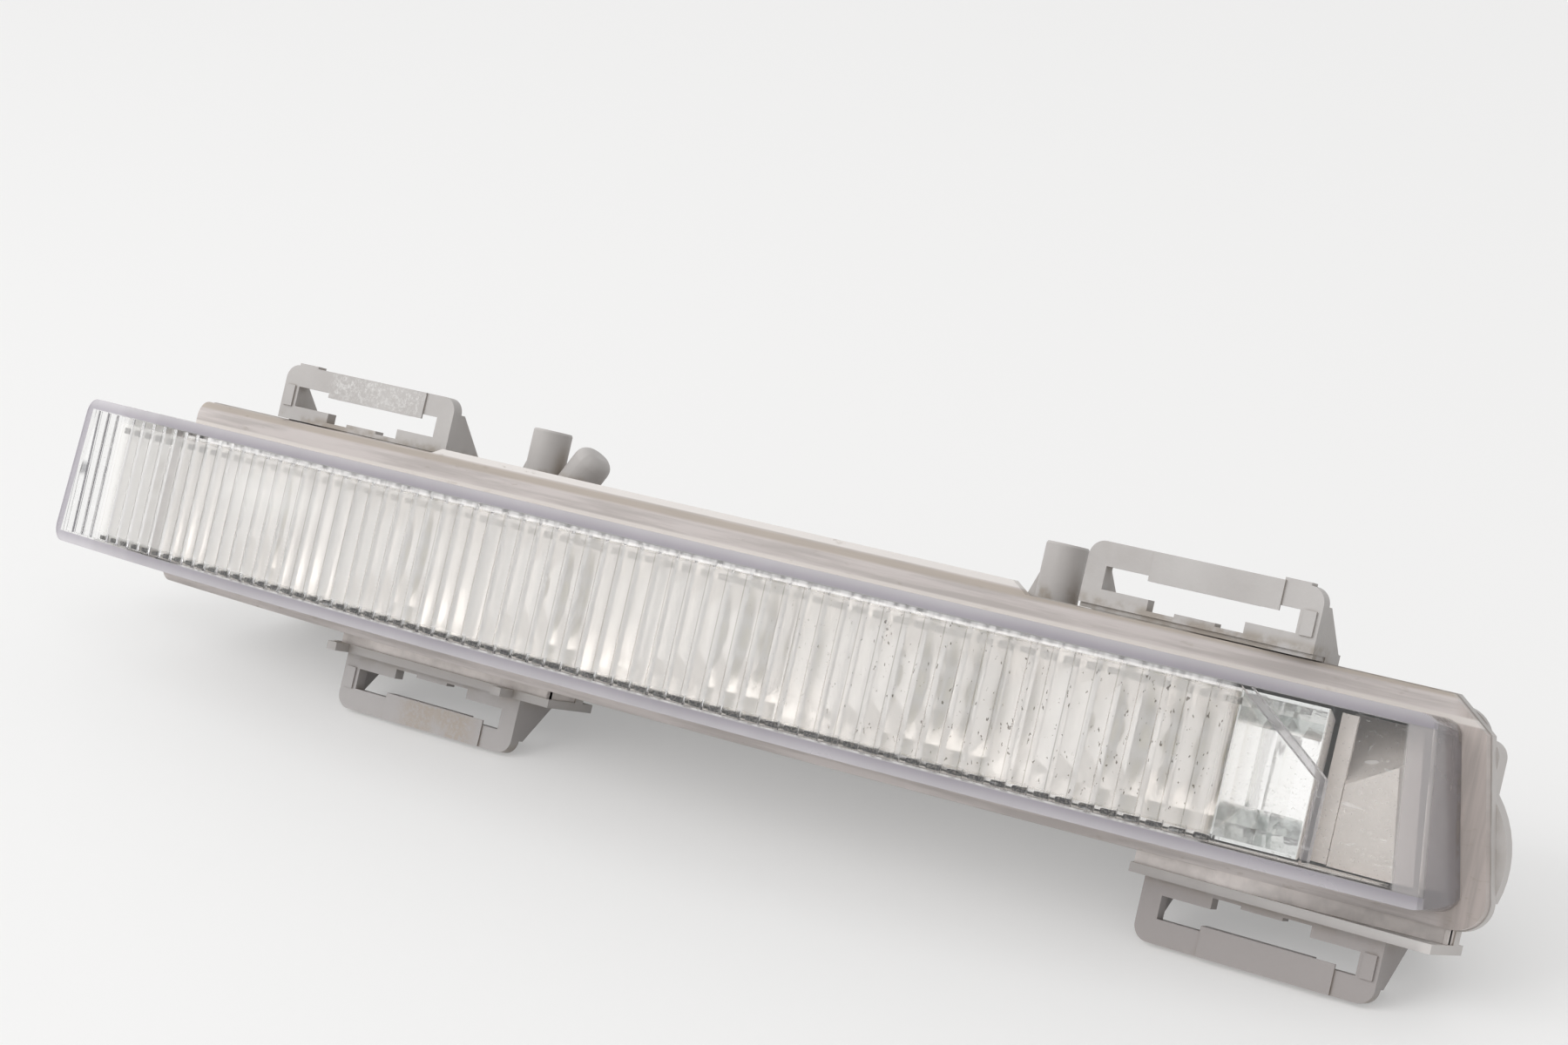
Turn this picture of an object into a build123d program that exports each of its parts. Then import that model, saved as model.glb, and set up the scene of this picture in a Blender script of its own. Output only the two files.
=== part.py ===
from build123d import *

import os
from math import asin, atan2, cos, degrees, radians, sin, sqrt

os.makedirs("parts", exist_ok=True)

# A daytime running light with a bowed, fluted lens and a moulded housing with four snap clips.
# Across is along the lamp, up is its own upright and depth runs back from its datum plane.
# The lamp stands on its lower clips and leans back on the lower rear edge of its housing.

# Overall form
lamp_length = 336.0
crown_radius = 611.0
crown_across = 6.5
crown_forward = 25.0
housing_rear = 43.6
clearance = 0.3

# Lens
lens_rise = 17.0
lens_drop = 15.2
lens_front_wall = 3.0
lens_side_wall = 2.4
lens_box_depth = 12.0
lens_corner = 3.5
left_rake = 2.5
right_rake = 8.3
end_draft_foot = 3.1
end_draft_top = 0.2
flange_thickness = 2.0
tongue_length = 1.7
wing_overhang = 30.0
wing_tip_depth = 4.5
wing_wall_lead = 14.0
wing_wall_thickness = 2.4
tongue_setback = 5.0
flute_pitch = 4.1
flute_rise = 0.55
window_rib_width = 1.3
window_rib_height = 1.4
window_inset = 28.0
window_slope_across = 16.0
window_corner_up = 2.0

# Lens flange seen from the front
flange_above_left = 5.0
flange_above_right = 4.2
flange_below = 2.5
flange_lip = 1.3
lip_beside_clip_left = 4.5
lip_beside_clip_right = 10.5
lip_slope = 3.0
flange_end_margin = 3.8
flange_chamfer_across = 6.8
flange_chamfer_up = 5.5
flange_left_round = 3.5
flange_foot_round = 5.0

# Housing
flange_seat = 0.15
rim_thickness = 2.0
rim_margin = 0.2
rim_dip = 0.6
lip_rib_width = 2.2
lip_rib_places = (-13.5, 10.5)
seal_width = 1.5
tub_wall = 2.4
tub_seat = 1.2
tub_corner = 6.0
rear_rise = 13.0
rear_drop = 17.0
rear_left_taper = 12.0
rear_right_taper = 14.0

# Snap clips
clip_width = 46.0
clip_height = 11.5
clip_thickness = 2.6
clip_corner = 3.0
clip_bar_end = 4.0
slot_inner = 2.9
slot_outer = 7.1
slot_recess = 2.0
slot_recess_length = 19.0
slot_pad = 1.0
slot_pad_length = 21.0
slot_bump = 0.6
slot_bump_length = 8.0
pad_raise = 0.4
pad_length = 25.5
pad_shift = 2.5
tab_length = 5.0
tab_height = 0.5
mark_width = 2.4
mark_height = 4.4
mark_raise = 0.4
gusset_thickness = 2.4
gusset_reach = 12.0
gusset_tip = 1.2
upper_clip_forward = 3.0
lower_clip_depth = 3.0
upper_clip_from_left = 82.5
upper_clip_from_right = 59.5
lower_clip_from_left = 110.7
lower_clip_from_right = 37.5
lower_clip_drop = 22.0
foot_thickness = 0.9
ledge_thickness = 1.7
ledge_overhang = 3.0
ledge_left = 25.0
ledge_right = 32.0
ledge_web = 2.6
ledge_web_depth = 9.0

# Stub tubes, peg and end boss
tube_outer = 8.0
tube_bore = 5.2
tube_bore_depth = 9.0
tube_top = 31.8
tube_depth = 4.0
tube_beside_clip_left = 20.5
tube_beside_clip_right = 8.0
tube_edge = 0.4
tube_taper = 30.0
tube_rib = 1.6
tube_rib_reach = 2.5
tube_rib_height = 7.0
peg_diameter = 8.0
peg_length = 11.5
peg_lean = 30.0
peg_beside_tube = 6.5
peg_round = 2.4
platform_before_tube = 15.0
platform_after_tube = 34.0
platform_top = 23.0
end_boss_radius = 19.0
end_boss_up = -6.5
end_boss_foot = 5.5
end_boss_inset = 0.8
end_boss_depth = 3.6
end_block_inset = 5.6
end_block_top = 15.0
end_block_round = 3.0

# Rear connector and breather
shroud_width = 24.0
shroud_height = 15.0
shroud_length = 14.0
shroud_wall = 2.0
shroud_corner = 2.5
shroud_foot = 2.0
shroud_floor = 1.8
shroud_across = 8.0
shroud_key_width = 5.0
shroud_key_depth = 1.2
pin_count = 3
pin_pitch = 6.0
pin_width = 1.5
pin_reach = 9.0
pin_gap = 0.15
breather_across = -84.0
breather_diameter = 14.0
breather_height = 4.0
breather_spigot = 7.0
breather_spigot_height = 2.8
breather_bore = 3.0
breather_edge = 1.0

# Optics
cell_count = 6
row_margin = 1.0
cell_wall = 1.3
cell_lip = 0.5
cell_ridge = 0.15
reflector_front = 7.0
reflector_gap = 0.6
cell_middle_depth = 20.0
cell_middle_share = 0.8
cell_throat_width = 7.0
cell_throat_height = 7.0
end_cell_count = 2
end_cell_gap = 2.0
end_cell_middle = 13.0
end_cell_back = 20.0
end_cell_floor_width = 3.0
end_cell_floor_height = 14.0
board_front = 33.0
board_thickness = 1.6
board_height = 20.0
board_end_margin = 8.0
led_size = 4.0
led_height = 1.6
led_dome = 1.4
led_edge = 0.4
sink_thickness = 2.4
sink_fin_reach = 6.0
sink_fin_thickness = 1.5
sink_fin_gap = 2.3
sink_fins_per_cell = 4
post_diameter = 6.0
post_bores = (1, 2, 4, 5)
screw_diameter = 3.0
screw_clearance = 0.1
screw_head = 6.0
screw_head_height = 2.2
screw_grip = 8.0
driver_grip = 6.0

# End bezel behind the clear window
bezel_front = 8.0
bezel_depth = 11.0
bezel_wall = 1.5
bezel_left_gap = 1.0
bezel_right_inset = 15.0
bezel_rake = 3.2
bezel_slope = 5.0
bezel_spread = 5.5
bezel_post_up = -4.0

# Driver electronics
driver_side_gap = 7.5
driver_height = 19.0
driver_front = 31.0
driver_thickness = 1.6
part_gap = 1.5
inductor_diameter = 11.0
inductor_height = 6.0
capacitor_pitch = 9.5
capacitor_diameter = 8.0
capacitor_height = 8.5
chip_side = 7.0
chip_height = 1.5
driver_post_inset = 5.0

# Worked-out places
left_end = -lamp_length / 2
right_end = lamp_length / 2
housing_left = left_end + wing_overhang
tongue_left = housing_left + tongue_setback
bow_centre = crown_radius - crown_forward
flange_front = lens_box_depth
flange_rear = lens_box_depth + flange_thickness
rim_front = flange_rear + flange_seat
rim_rear = rim_front + rim_thickness
tongue_rear = rim_front + tongue_length
board_rear = board_front + board_thickness
sink_rear = board_rear + sink_thickness
flange_foot = lens_drop + flange_below
clip_foot = lower_clip_drop + clip_height
upper_clip_base = lens_rise + flange_above_left + clearance
inner_rear = housing_rear - tub_wall
driver_rear = driver_front + driver_thickness
tall = 3 * crown_forward + 2 * clip_foot
upper_clip_left = left_end + upper_clip_from_left
upper_clip_right = right_end - upper_clip_from_right
lower_clip_left = left_end + lower_clip_from_left
lower_clip_right = right_end - lower_clip_from_right
lip_left = upper_clip_left + clip_width / 2 + lip_beside_clip_left
lip_right = upper_clip_right - clip_width / 2 - lip_beside_clip_right
tube_left = upper_clip_left + clip_width / 2 + tube_beside_clip_left
tube_right = upper_clip_right - clip_width / 2 - tube_beside_clip_right
platform_left = tube_left - platform_before_tube
platform_right = tube_left + platform_after_tube
window_corner = right_end - window_inset
flute_end = window_corner - window_slope_across
row_left = tongue_left + row_margin
row_right = flute_end - row_margin
row_middle = (row_left + row_right) / 2
cell_pitch = (row_right - row_left) / cell_count
screw_hole_radius = screw_diameter / 2 + screw_clearance
mouth_radius = crown_radius - reflector_front
row_angle = degrees(asin((row_middle - crown_across) / mouth_radius))
cell_angle = degrees(cell_pitch / mouth_radius)
end_cell_width = (window_corner - end_cell_gap - row_right) / end_cell_count
bezel_left = window_corner + bezel_left_gap
bezel_right = right_end - bezel_right_inset
driver_width = 2 * (cell_pitch - driver_side_gap)
driver_clear = driver_width / 2 - driver_post_inset - screw_head / 2 - part_gap
chip_across = driver_clear - inductor_diameter - part_gap - chip_side / 2
fin_span = cell_pitch - post_diameter - 2 * sink_fin_gap
end_boss_across = right_end - end_boss_radius - end_boss_inset
end_block_right = right_end - end_block_inset

# Resting stance
clip_foot_depth = lower_clip_depth + clip_thickness
lean = atan2(clip_foot - rear_drop, housing_rear - clip_foot_depth)
rest_height = clip_foot * cos(lean) + clip_foot_depth * sin(lean)
rear_reach = (housing_rear + shroud_length) * cos(lean) + shroud_height / 2 * sin(lean)
front_reach = crown_forward * cos(lean) + lens_drop * sin(lean)
lamp = Plane(
    origin=(0, (front_reach - rear_reach) / 2, rest_height),
    x_dir=(1, 0, 0),
    z_dir=(0, -cos(lean), sin(lean)),
)


def face(depth):
    # across and up, looking at the lamp's front
    return lamp.offset(-depth)


def level(up):
    # across and depth, looking down on the lamp
    return Plane(origin=lamp.from_local_coords((0, up, 0)), x_dir=lamp.x_dir, z_dir=lamp.y_dir)


def station(across):
    # depth and up, looking along the lamp from its left end
    origin = lamp.from_local_coords((across, 0, 0))
    return Plane(origin=origin, x_dir=-lamp.z_dir, z_dir=lamp.x_dir)


def bay(angle, behind):
    # a plane square to the lens's bow, a distance behind its front
    turn = radians(angle)
    radius = crown_radius - behind
    place = (crown_across + radius * sin(turn), 0, radius * cos(turn) - bow_centre)
    tangent = lamp.x_dir * cos(turn) - lamp.z_dir * sin(turn)
    outward = lamp.x_dir * sin(turn) + lamp.z_dir * cos(turn)
    return Plane(origin=lamp.from_local_coords(place), x_dir=tangent, z_dir=outward)


def bow(across, behind):
    # the point of a plan curve that runs a distance behind the lens's front
    radius = crown_radius - behind
    return (across, bow_centre - sqrt(radius**2 - (across - crown_across) ** 2))


def bow_arc(start, finish, behind):
    middle = (start + finish) / 2
    return ThreePointArc(bow(start, behind), bow(middle, behind), bow(finish, behind))


def right_edge(up, margin):
    # the right end leans, wider at the foot
    share = (up + flange_foot) / (lens_rise + flange_above_left + flange_foot)
    return right_end - margin - right_rake * share


def box_outline(left_top, left_foot, grow):
    # the lens box seen from the front
    with BuildSketch() as outline:
        with BuildLine():
            Polyline(
                (left_foot, -lens_drop),
                (right_edge(-lens_drop, flange_end_margin), -lens_drop),
                (right_edge(lens_rise, flange_end_margin), lens_rise),
                (left_top, lens_rise),
                close=True,
            )
        make_face()
        fillet(outline.vertices(), lens_corner)
        if grow:
            offset(amount=grow, kind=Kind.ARC, mode=Mode.REPLACE)
    return outline.sketch


def lens_outline(grow):
    return box_outline(left_end + left_rake, left_end, grow)


def well_outline(grow):
    return box_outline(tongue_left, tongue_left, grow)


def flange_outline(middle_lip, grow):
    # the flange seen from the front, with its lip between the upper clips
    top_left = lens_rise + flange_above_left
    top_right = lens_rise + flange_above_right
    top_middle = top_left + middle_lip
    corner = right_edge(top_right - flange_chamfer_up, 0)
    with BuildSketch() as outline:
        with BuildLine():
            Polyline(
                (housing_left, -flange_foot),
                (right_edge(-flange_foot, 0), -flange_foot),
                (corner, top_right - flange_chamfer_up),
                (corner - flange_chamfer_across, top_right),
                (lip_right + lip_slope, top_right),
                (lip_right, top_middle),
                (lip_left, top_middle),
                (lip_left - lip_slope, top_left),
                (housing_left, top_left),
                close=True,
            )
        make_face()
        fillet(outline.vertices().group_by(Axis.X)[0], flange_left_round)
        fillet(outline.vertices().sort_by(Axis.X)[-1], flange_foot_round)
        if grow:
            offset(amount=grow, kind=Kind.ARC, mode=Mode.REPLACE)
    return outline.sketch


def bowed(outline, front, back):
    # a plate cut to a front outline and bent to the lens's bow
    with BuildPart() as plate:
        with BuildSketch(level(-tall / 2)):
            with BuildLine():
                bow_arc(left_end - tub_wall, right_end + tub_wall, front)
                Line(bow(right_end + tub_wall, front), bow(right_end + tub_wall, back))
                bow_arc(right_end + tub_wall, left_end - tub_wall, back)
                Line(bow(left_end - tub_wall, back), bow(left_end - tub_wall, front))
            make_face()
        extrude(amount=tall)
        with BuildSketch(face(tall)):
            add(outline)
        extrude(amount=2 * tall, mode=Mode.INTERSECT)
    return plate.part


def fluted(start, finish, count):
    # upright pillow flutes on the inside of the lens's front wall
    step = (finish - start) / count
    for index in range(count):
        near = start + index * step
        far = near + step
        crest = bow((near + far) / 2, lens_front_wall + flute_rise)
        ThreePointArc(bow(near, lens_front_wall), crest, bow(far, lens_front_wall))


def end_trim(inset):
    # what the draft of the right end takes off the lens box
    edge = right_end - flange_end_margin
    front_depth = bow(window_corner, 0)[1]
    back_depth = bow(edge, flange_front)[1]
    lead = (back_depth - front_depth) / (back_depth - bow(edge, 0)[1])
    foot, top = -lens_drop - lens_side_wall, lens_rise + lens_side_wall
    with BuildPart() as trim:
        for depth, share in ((back_depth, 0), (front_depth, lead)):
            with BuildSketch(face(depth)):
                with BuildLine():
                    Polyline(
                        (right_edge(foot, flange_end_margin) - share * end_draft_foot - inset, foot),
                        (right_end + tub_wall, foot),
                        (right_end + tub_wall, top),
                        (right_edge(top, flange_end_margin) - share * end_draft_top - inset, top),
                        close=True,
                    )
                make_face()
        loft(ruled=True)
    return trim.part


# Lens: one clear moulding with flutes inside, a flange, a tongue for the seal and the wing
wing_wall = housing_left - wing_wall_lead
wall_left = wing_wall - wing_wall_thickness / 2
wall_right = wing_wall + wing_wall_thickness / 2
root_left = tongue_left - clearance
root_right = tongue_left + wing_wall_thickness
wing_flutes = round((wall_left - left_end) / flute_pitch)
main_flutes = round((flute_end - wall_right) / flute_pitch)
cavity_back = rim_rear + rim_thickness

with BuildPart() as lens_cavity:
    with BuildSketch(level(-tall / 2)):
        with BuildLine():
            fluted(wall_right, flute_end, main_flutes)
            bow_arc(flute_end, right_end, lens_front_wall)
            Line(bow(right_end, lens_front_wall), bow(right_end, cavity_back))
            bow_arc(right_end, root_right, cavity_back)
            Line(bow(root_right, cavity_back), bow(root_right, tongue_rear))
            Line(bow(root_right, tongue_rear), bow(wall_right, lens_front_wall))
        make_face()
    extrude(amount=tall)
    with BuildSketch(face(tall)):
        add(lens_outline(-lens_side_wall))
    extrude(amount=2 * tall, mode=Mode.INTERSECT)
    add(end_trim(lens_side_wall), mode=Mode.SUBTRACT)

with BuildPart() as wing_pocket:
    with BuildSketch(level(-tall / 2)):
        with BuildLine():
            fluted(left_end, wall_left, wing_flutes)
            Line(bow(wall_left, lens_front_wall), bow(root_left, flange_rear))
            Line(bow(root_left, flange_rear), bow(root_left, cavity_back))
            bow_arc(root_left, left_end, cavity_back)
            Line(bow(left_end, cavity_back), bow(left_end, lens_front_wall))
        make_face()
    extrude(amount=tall)
    with BuildSketch(face(tall)):
        add(lens_outline(-lens_side_wall))
    extrude(amount=2 * tall, mode=Mode.INTERSECT)

with BuildPart() as window_rib:
    with BuildSketch(level(-tall / 2)):
        with BuildLine():
            bow_arc(left_end, right_end, lens_front_wall - clearance)
            Line(
                bow(right_end, lens_front_wall - clearance),
                bow(right_end, lens_front_wall + window_rib_height),
            )
            bow_arc(right_end, left_end, lens_front_wall + window_rib_height)
            Line(
                bow(left_end, lens_front_wall + window_rib_height),
                bow(left_end, lens_front_wall - clearance),
            )
        make_face()
    extrude(amount=tall)
    with BuildSketch(face(tall)):
        with BuildLine() as rib_line:
            Polyline(
                (flute_end - window_rib_width, lens_rise - lens_side_wall / 2),
                (window_corner, window_corner_up),
                (window_corner, lens_side_wall / 2 - lens_drop),
            )
        trace(rib_line.line, line_width=window_rib_width)
    extrude(amount=2 * tall, mode=Mode.INTERSECT)

lens_flange = bowed(flange_outline(flange_lip, 0), flange_front, flange_rear)

with BuildPart() as lens:
    with BuildSketch(level(-tall / 2)):
        with BuildLine():
            bow_arc(left_end, right_end, 0)
            Line(bow(right_end, 0), bow(right_end, flange_rear))
            bow_arc(right_end, tongue_left, flange_rear)
            Line(bow(tongue_left, flange_rear), bow(left_end, wing_tip_depth))
            Line(bow(left_end, wing_tip_depth), bow(left_end, 0))
        make_face()
    extrude(amount=tall)
    with BuildSketch(face(tall)):
        add(lens_outline(0))
    extrude(amount=2 * tall, mode=Mode.INTERSECT)
    add(end_trim(0), mode=Mode.SUBTRACT)
    add(lens_flange)
    add(bowed(well_outline(0), flange_front, tongue_rear))
    add(lens_cavity.part, mode=Mode.SUBTRACT)
    add(wing_pocket.part, mode=Mode.SUBTRACT)
    add(window_rib.part)
lens.part.label = "lens"
export_step(lens.part, "parts/lens.step")

# Seal bead round the lens's tongue
with BuildPart() as lens_seal:
    add(bowed(well_outline(seal_width - clearance / 3), rim_front, tongue_rear))
    add(bowed(well_outline(clearance / 3), rim_front, rim_rear), mode=Mode.SUBTRACT)
lens_seal.part.label = "lens_seal"
export_step(lens_seal.part, "parts/lens_seal.step")

# Rear housing: a drafted tub behind a bowed rim
tub_grow = seal_width + tub_seat
tub_front = -crown_forward
mouth_depth = bow(right_end - flange_end_margin, rim_rear)[1]
rear_left = tongue_left + rear_left_taper
rear_right = right_edge(lens_rise, flange_end_margin) - rear_right_taper


def tub_section(left, right_foot, right_top, foot, top, corner):
    with BuildSketch() as outline:
        with BuildLine():
            Polyline((left, foot), (right_foot, foot), (right_top, top), (left, top), close=True)
        make_face()
        fillet(outline.vertices(), corner)
    return outline.sketch


def rear_section(inset):
    right = rear_right - inset
    foot = inset - rear_drop
    return tub_section(rear_left + inset, right, right, foot, rear_rise - inset, lens_corner)


def mouth_section(grow):
    right_foot = right_edge(-lens_drop, flange_end_margin) + grow
    right_top = right_edge(lens_rise, flange_end_margin) + grow
    left = tongue_left - grow
    return tub_section(left, right_foot, right_top, -lens_drop - grow, lens_rise + grow, tub_corner)


def tub_shape(wall):
    # straight walls behind the rim, then drafted walls to the rear
    with BuildPart() as shape:
        with BuildSketch(face(housing_rear - wall)):
            add(rear_section(wall))
        with BuildSketch(face(mouth_depth)):
            add(mouth_section(tub_grow - wall))
        loft(ruled=True)
        with BuildSketch(face(mouth_depth)):
            add(mouth_section(tub_grow - wall))
        extrude(amount=mouth_depth - tub_front)
    return shape.part


with BuildSketch() as whole_front:
    Rectangle(2 * lamp_length, tall)
ahead_of_rim = bowed(whole_front.sketch, 2 * tub_front, rim_rear)
ahead_of_posts = bowed(whole_front.sketch, 2 * tub_front, sink_rear)


def post_angle(index):
    return row_angle + (index - cell_count / 2) * cell_angle


def post_across(index):
    return crown_across + (crown_radius - sink_rear) * sin(radians(post_angle(index)))


def posts(places, diameter, front):
    # round posts on the inside of the rear wall
    with BuildPart() as post_row:
        with BuildSketch(face(housing_rear - tub_wall / 2)):
            with Locations(*places):
                Circle(diameter / 2)
        extrude(amount=housing_rear - tub_wall / 2 - front)
    return post_row.part


with BuildPart() as sink_posts:
    add(posts([(post_across(index), 0) for index in post_bores], post_diameter, tub_front))
    add(ahead_of_posts, mode=Mode.SUBTRACT)


bezel_panel = bow(bezel_right, bezel_front)[1]
bezel_middle = (bezel_left + bezel_right) / 2

with BuildPart() as bezel_post:
    add(posts([(bezel_middle, bezel_post_up)], post_diameter, bezel_panel + bezel_wall))
    add(tub_shape(tub_wall / 2), mode=Mode.INTERSECT)


def clip_slot():
    # the stepped slot: a pad on the outer bar faces a recess with a low bump
    slot = clip_width / 2 - clip_bar_end
    recess = slot_recess_length / 2
    pad = slot_pad_length / 2
    bump = slot_bump_length / 2
    floor = slot_inner - slot_recess
    with BuildSketch() as outline:
        with BuildLine():
            Polyline(
                (-slot, slot_inner),
                (-recess, slot_inner),
                (-recess, floor),
                (-bump, floor),
                (-bump, floor + slot_bump),
                (bump, floor + slot_bump),
                (bump, floor),
                (recess, floor),
                (recess, slot_inner),
                (slot, slot_inner),
                (slot, slot_outer),
                (pad, slot_outer),
                (pad, slot_outer - slot_pad),
                (-pad, slot_outer - slot_pad),
                (-pad, slot_outer),
                (-slot, slot_outer),
                close=True,
            )
        make_face()
    return outline.sketch


def clip_plate(tabs):
    # the clip's plate seen from the front, with its slot and any low tabs on its outer edge
    with BuildSketch() as plate:
        with Locations((0, clip_height / 2)):
            Rectangle(clip_width, clip_height)
        fillet(plate.vertices().group_by(Axis.Y)[-1], clip_corner)
        for across in tabs:
            with Locations((across, clip_height)):
                Rectangle(tab_length, 2 * tab_height)
        add(clip_slot(), mode=Mode.SUBTRACT)
    return plate.sketch


def snap_clip(middle, base, side, depth, mark_side, root):
    # a plate with its slot, a raised pad and two gussets that run back to the housing
    half = clip_width / 2
    back = depth + clip_thickness
    tip = base + side * (clip_height - clip_corner)
    elbow = bow(middle + mark_side * half, rim_front)[1] + clearance
    pad_up = base + side * (slot_outer - slot_pad + clip_height) / 2
    mark_across = middle + mark_side * (half - clip_bar_end / 2)
    mark_up = base + side * (slot_inner + slot_outer) / 2
    if side > 0:
        plate = clip_plate([mark_side * (half - clip_corner - tab_length / 2)])
    else:
        plate = mirror(clip_plate([]), about=Plane.XZ, mode=Mode.PRIVATE)
    with BuildPart() as clip:
        with BuildSketch(face(back)):
            with Locations((middle, base)):
                add(plate)
        extrude(amount=clip_thickness)
        with BuildSketch(face(depth)):
            with Locations((middle + pad_shift, pad_up)):
                Rectangle(pad_length, clip_height - slot_outer + slot_pad)
        extrude(amount=pad_raise)
        with BuildSketch(face(depth)):
            with Locations((mark_across, mark_up)):
                Rectangle(mark_width, mark_height)
        extrude(amount=mark_raise)
        for edge in (middle - half, middle + half - gusset_thickness):
            with BuildSketch(station(edge)):
                with BuildLine():
                    Polyline(
                        (depth, base),
                        (depth, tip),
                        (back + gusset_tip, tip),
                        (depth + gusset_reach, base),
                        (depth + gusset_reach, root),
                        (elbow, root),
                        (elbow, base),
                        close=True,
                    )
                make_face()
            extrude(amount=gusset_thickness)
    return clip.part


def slab(left, right, front, back, foot, top):
    # a plain shelf or web of the moulding
    with BuildPart() as shelf:
        with BuildSketch(level(foot)):
            with Locations(((left + right) / 2, (front + back) / 2)):
                Rectangle(right - left, back - front)
        extrude(amount=top - foot)
    return shelf.part


upper_root = lens_rise + seal_width + tub_seat / 2
lower_root = -lens_drop - seal_width - tub_seat / 2
driver_posts = [(row_middle + side * (driver_width / 2 - driver_post_inset), 0) for side in (-1, 1)]
pin_left = shroud_across - (pin_count - 1) * pin_pitch / 2
pin_places = [(pin_left + index * pin_pitch, 0) for index in range(pin_count)]

with BuildPart() as peg:
    turn = radians(peg_lean)
    peg_base = Plane(
        origin=lamp.from_local_coords((tube_left + peg_beside_tube, upper_root, -tube_depth)),
        x_dir=lamp.z_dir,
        z_dir=lamp.x_dir * sin(turn) + lamp.y_dir * cos(turn),
    )
    with BuildSketch(peg_base):
        Circle(peg_diameter / 2)
    extrude(amount=peg_length)
    fillet(peg.faces().sort_by(Axis(peg_base.origin, peg_base.z_dir))[-1].edges(), peg_round)


with BuildSketch() as platform_front:
    with Locations(((platform_left + platform_right) / 2, (lens_rise + platform_top) / 2)):
        Rectangle(platform_right - platform_left, platform_top - lens_rise)
    for across in lip_rib_places:
        with Locations((crown_across + across, (lens_rise + platform_top) / 2)):
            Rectangle(lip_rib_width, platform_top - lens_rise)
platform = bowed(platform_front.sketch, rim_front, rim_rear)
end_back = mouth_depth + end_boss_depth

with BuildSketch() as end_block:
    with Locations((end_boss_across, end_boss_up)):
        Rectangle(
            end_block_right - end_boss_across,
            end_block_top - end_boss_up,
            align=(Align.MIN, Align.MIN),
        )
    fillet(end_block.vertices().group_by(Axis.X)[-1].sort_by(Axis.Y)[-1], end_block_round)

with BuildSketch() as end_boss:
    with Locations((end_boss_across, end_boss_up)):
        Circle(end_boss_radius)
    with Locations((end_boss_across, end_boss_up - end_boss_foot)):
        Rectangle(
            end_boss_radius,
            end_boss_radius + end_boss_foot,
            align=(Align.MIN, Align.MIN),
            mode=Mode.INTERSECT,
        )
    add(end_block.sketch)

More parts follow.
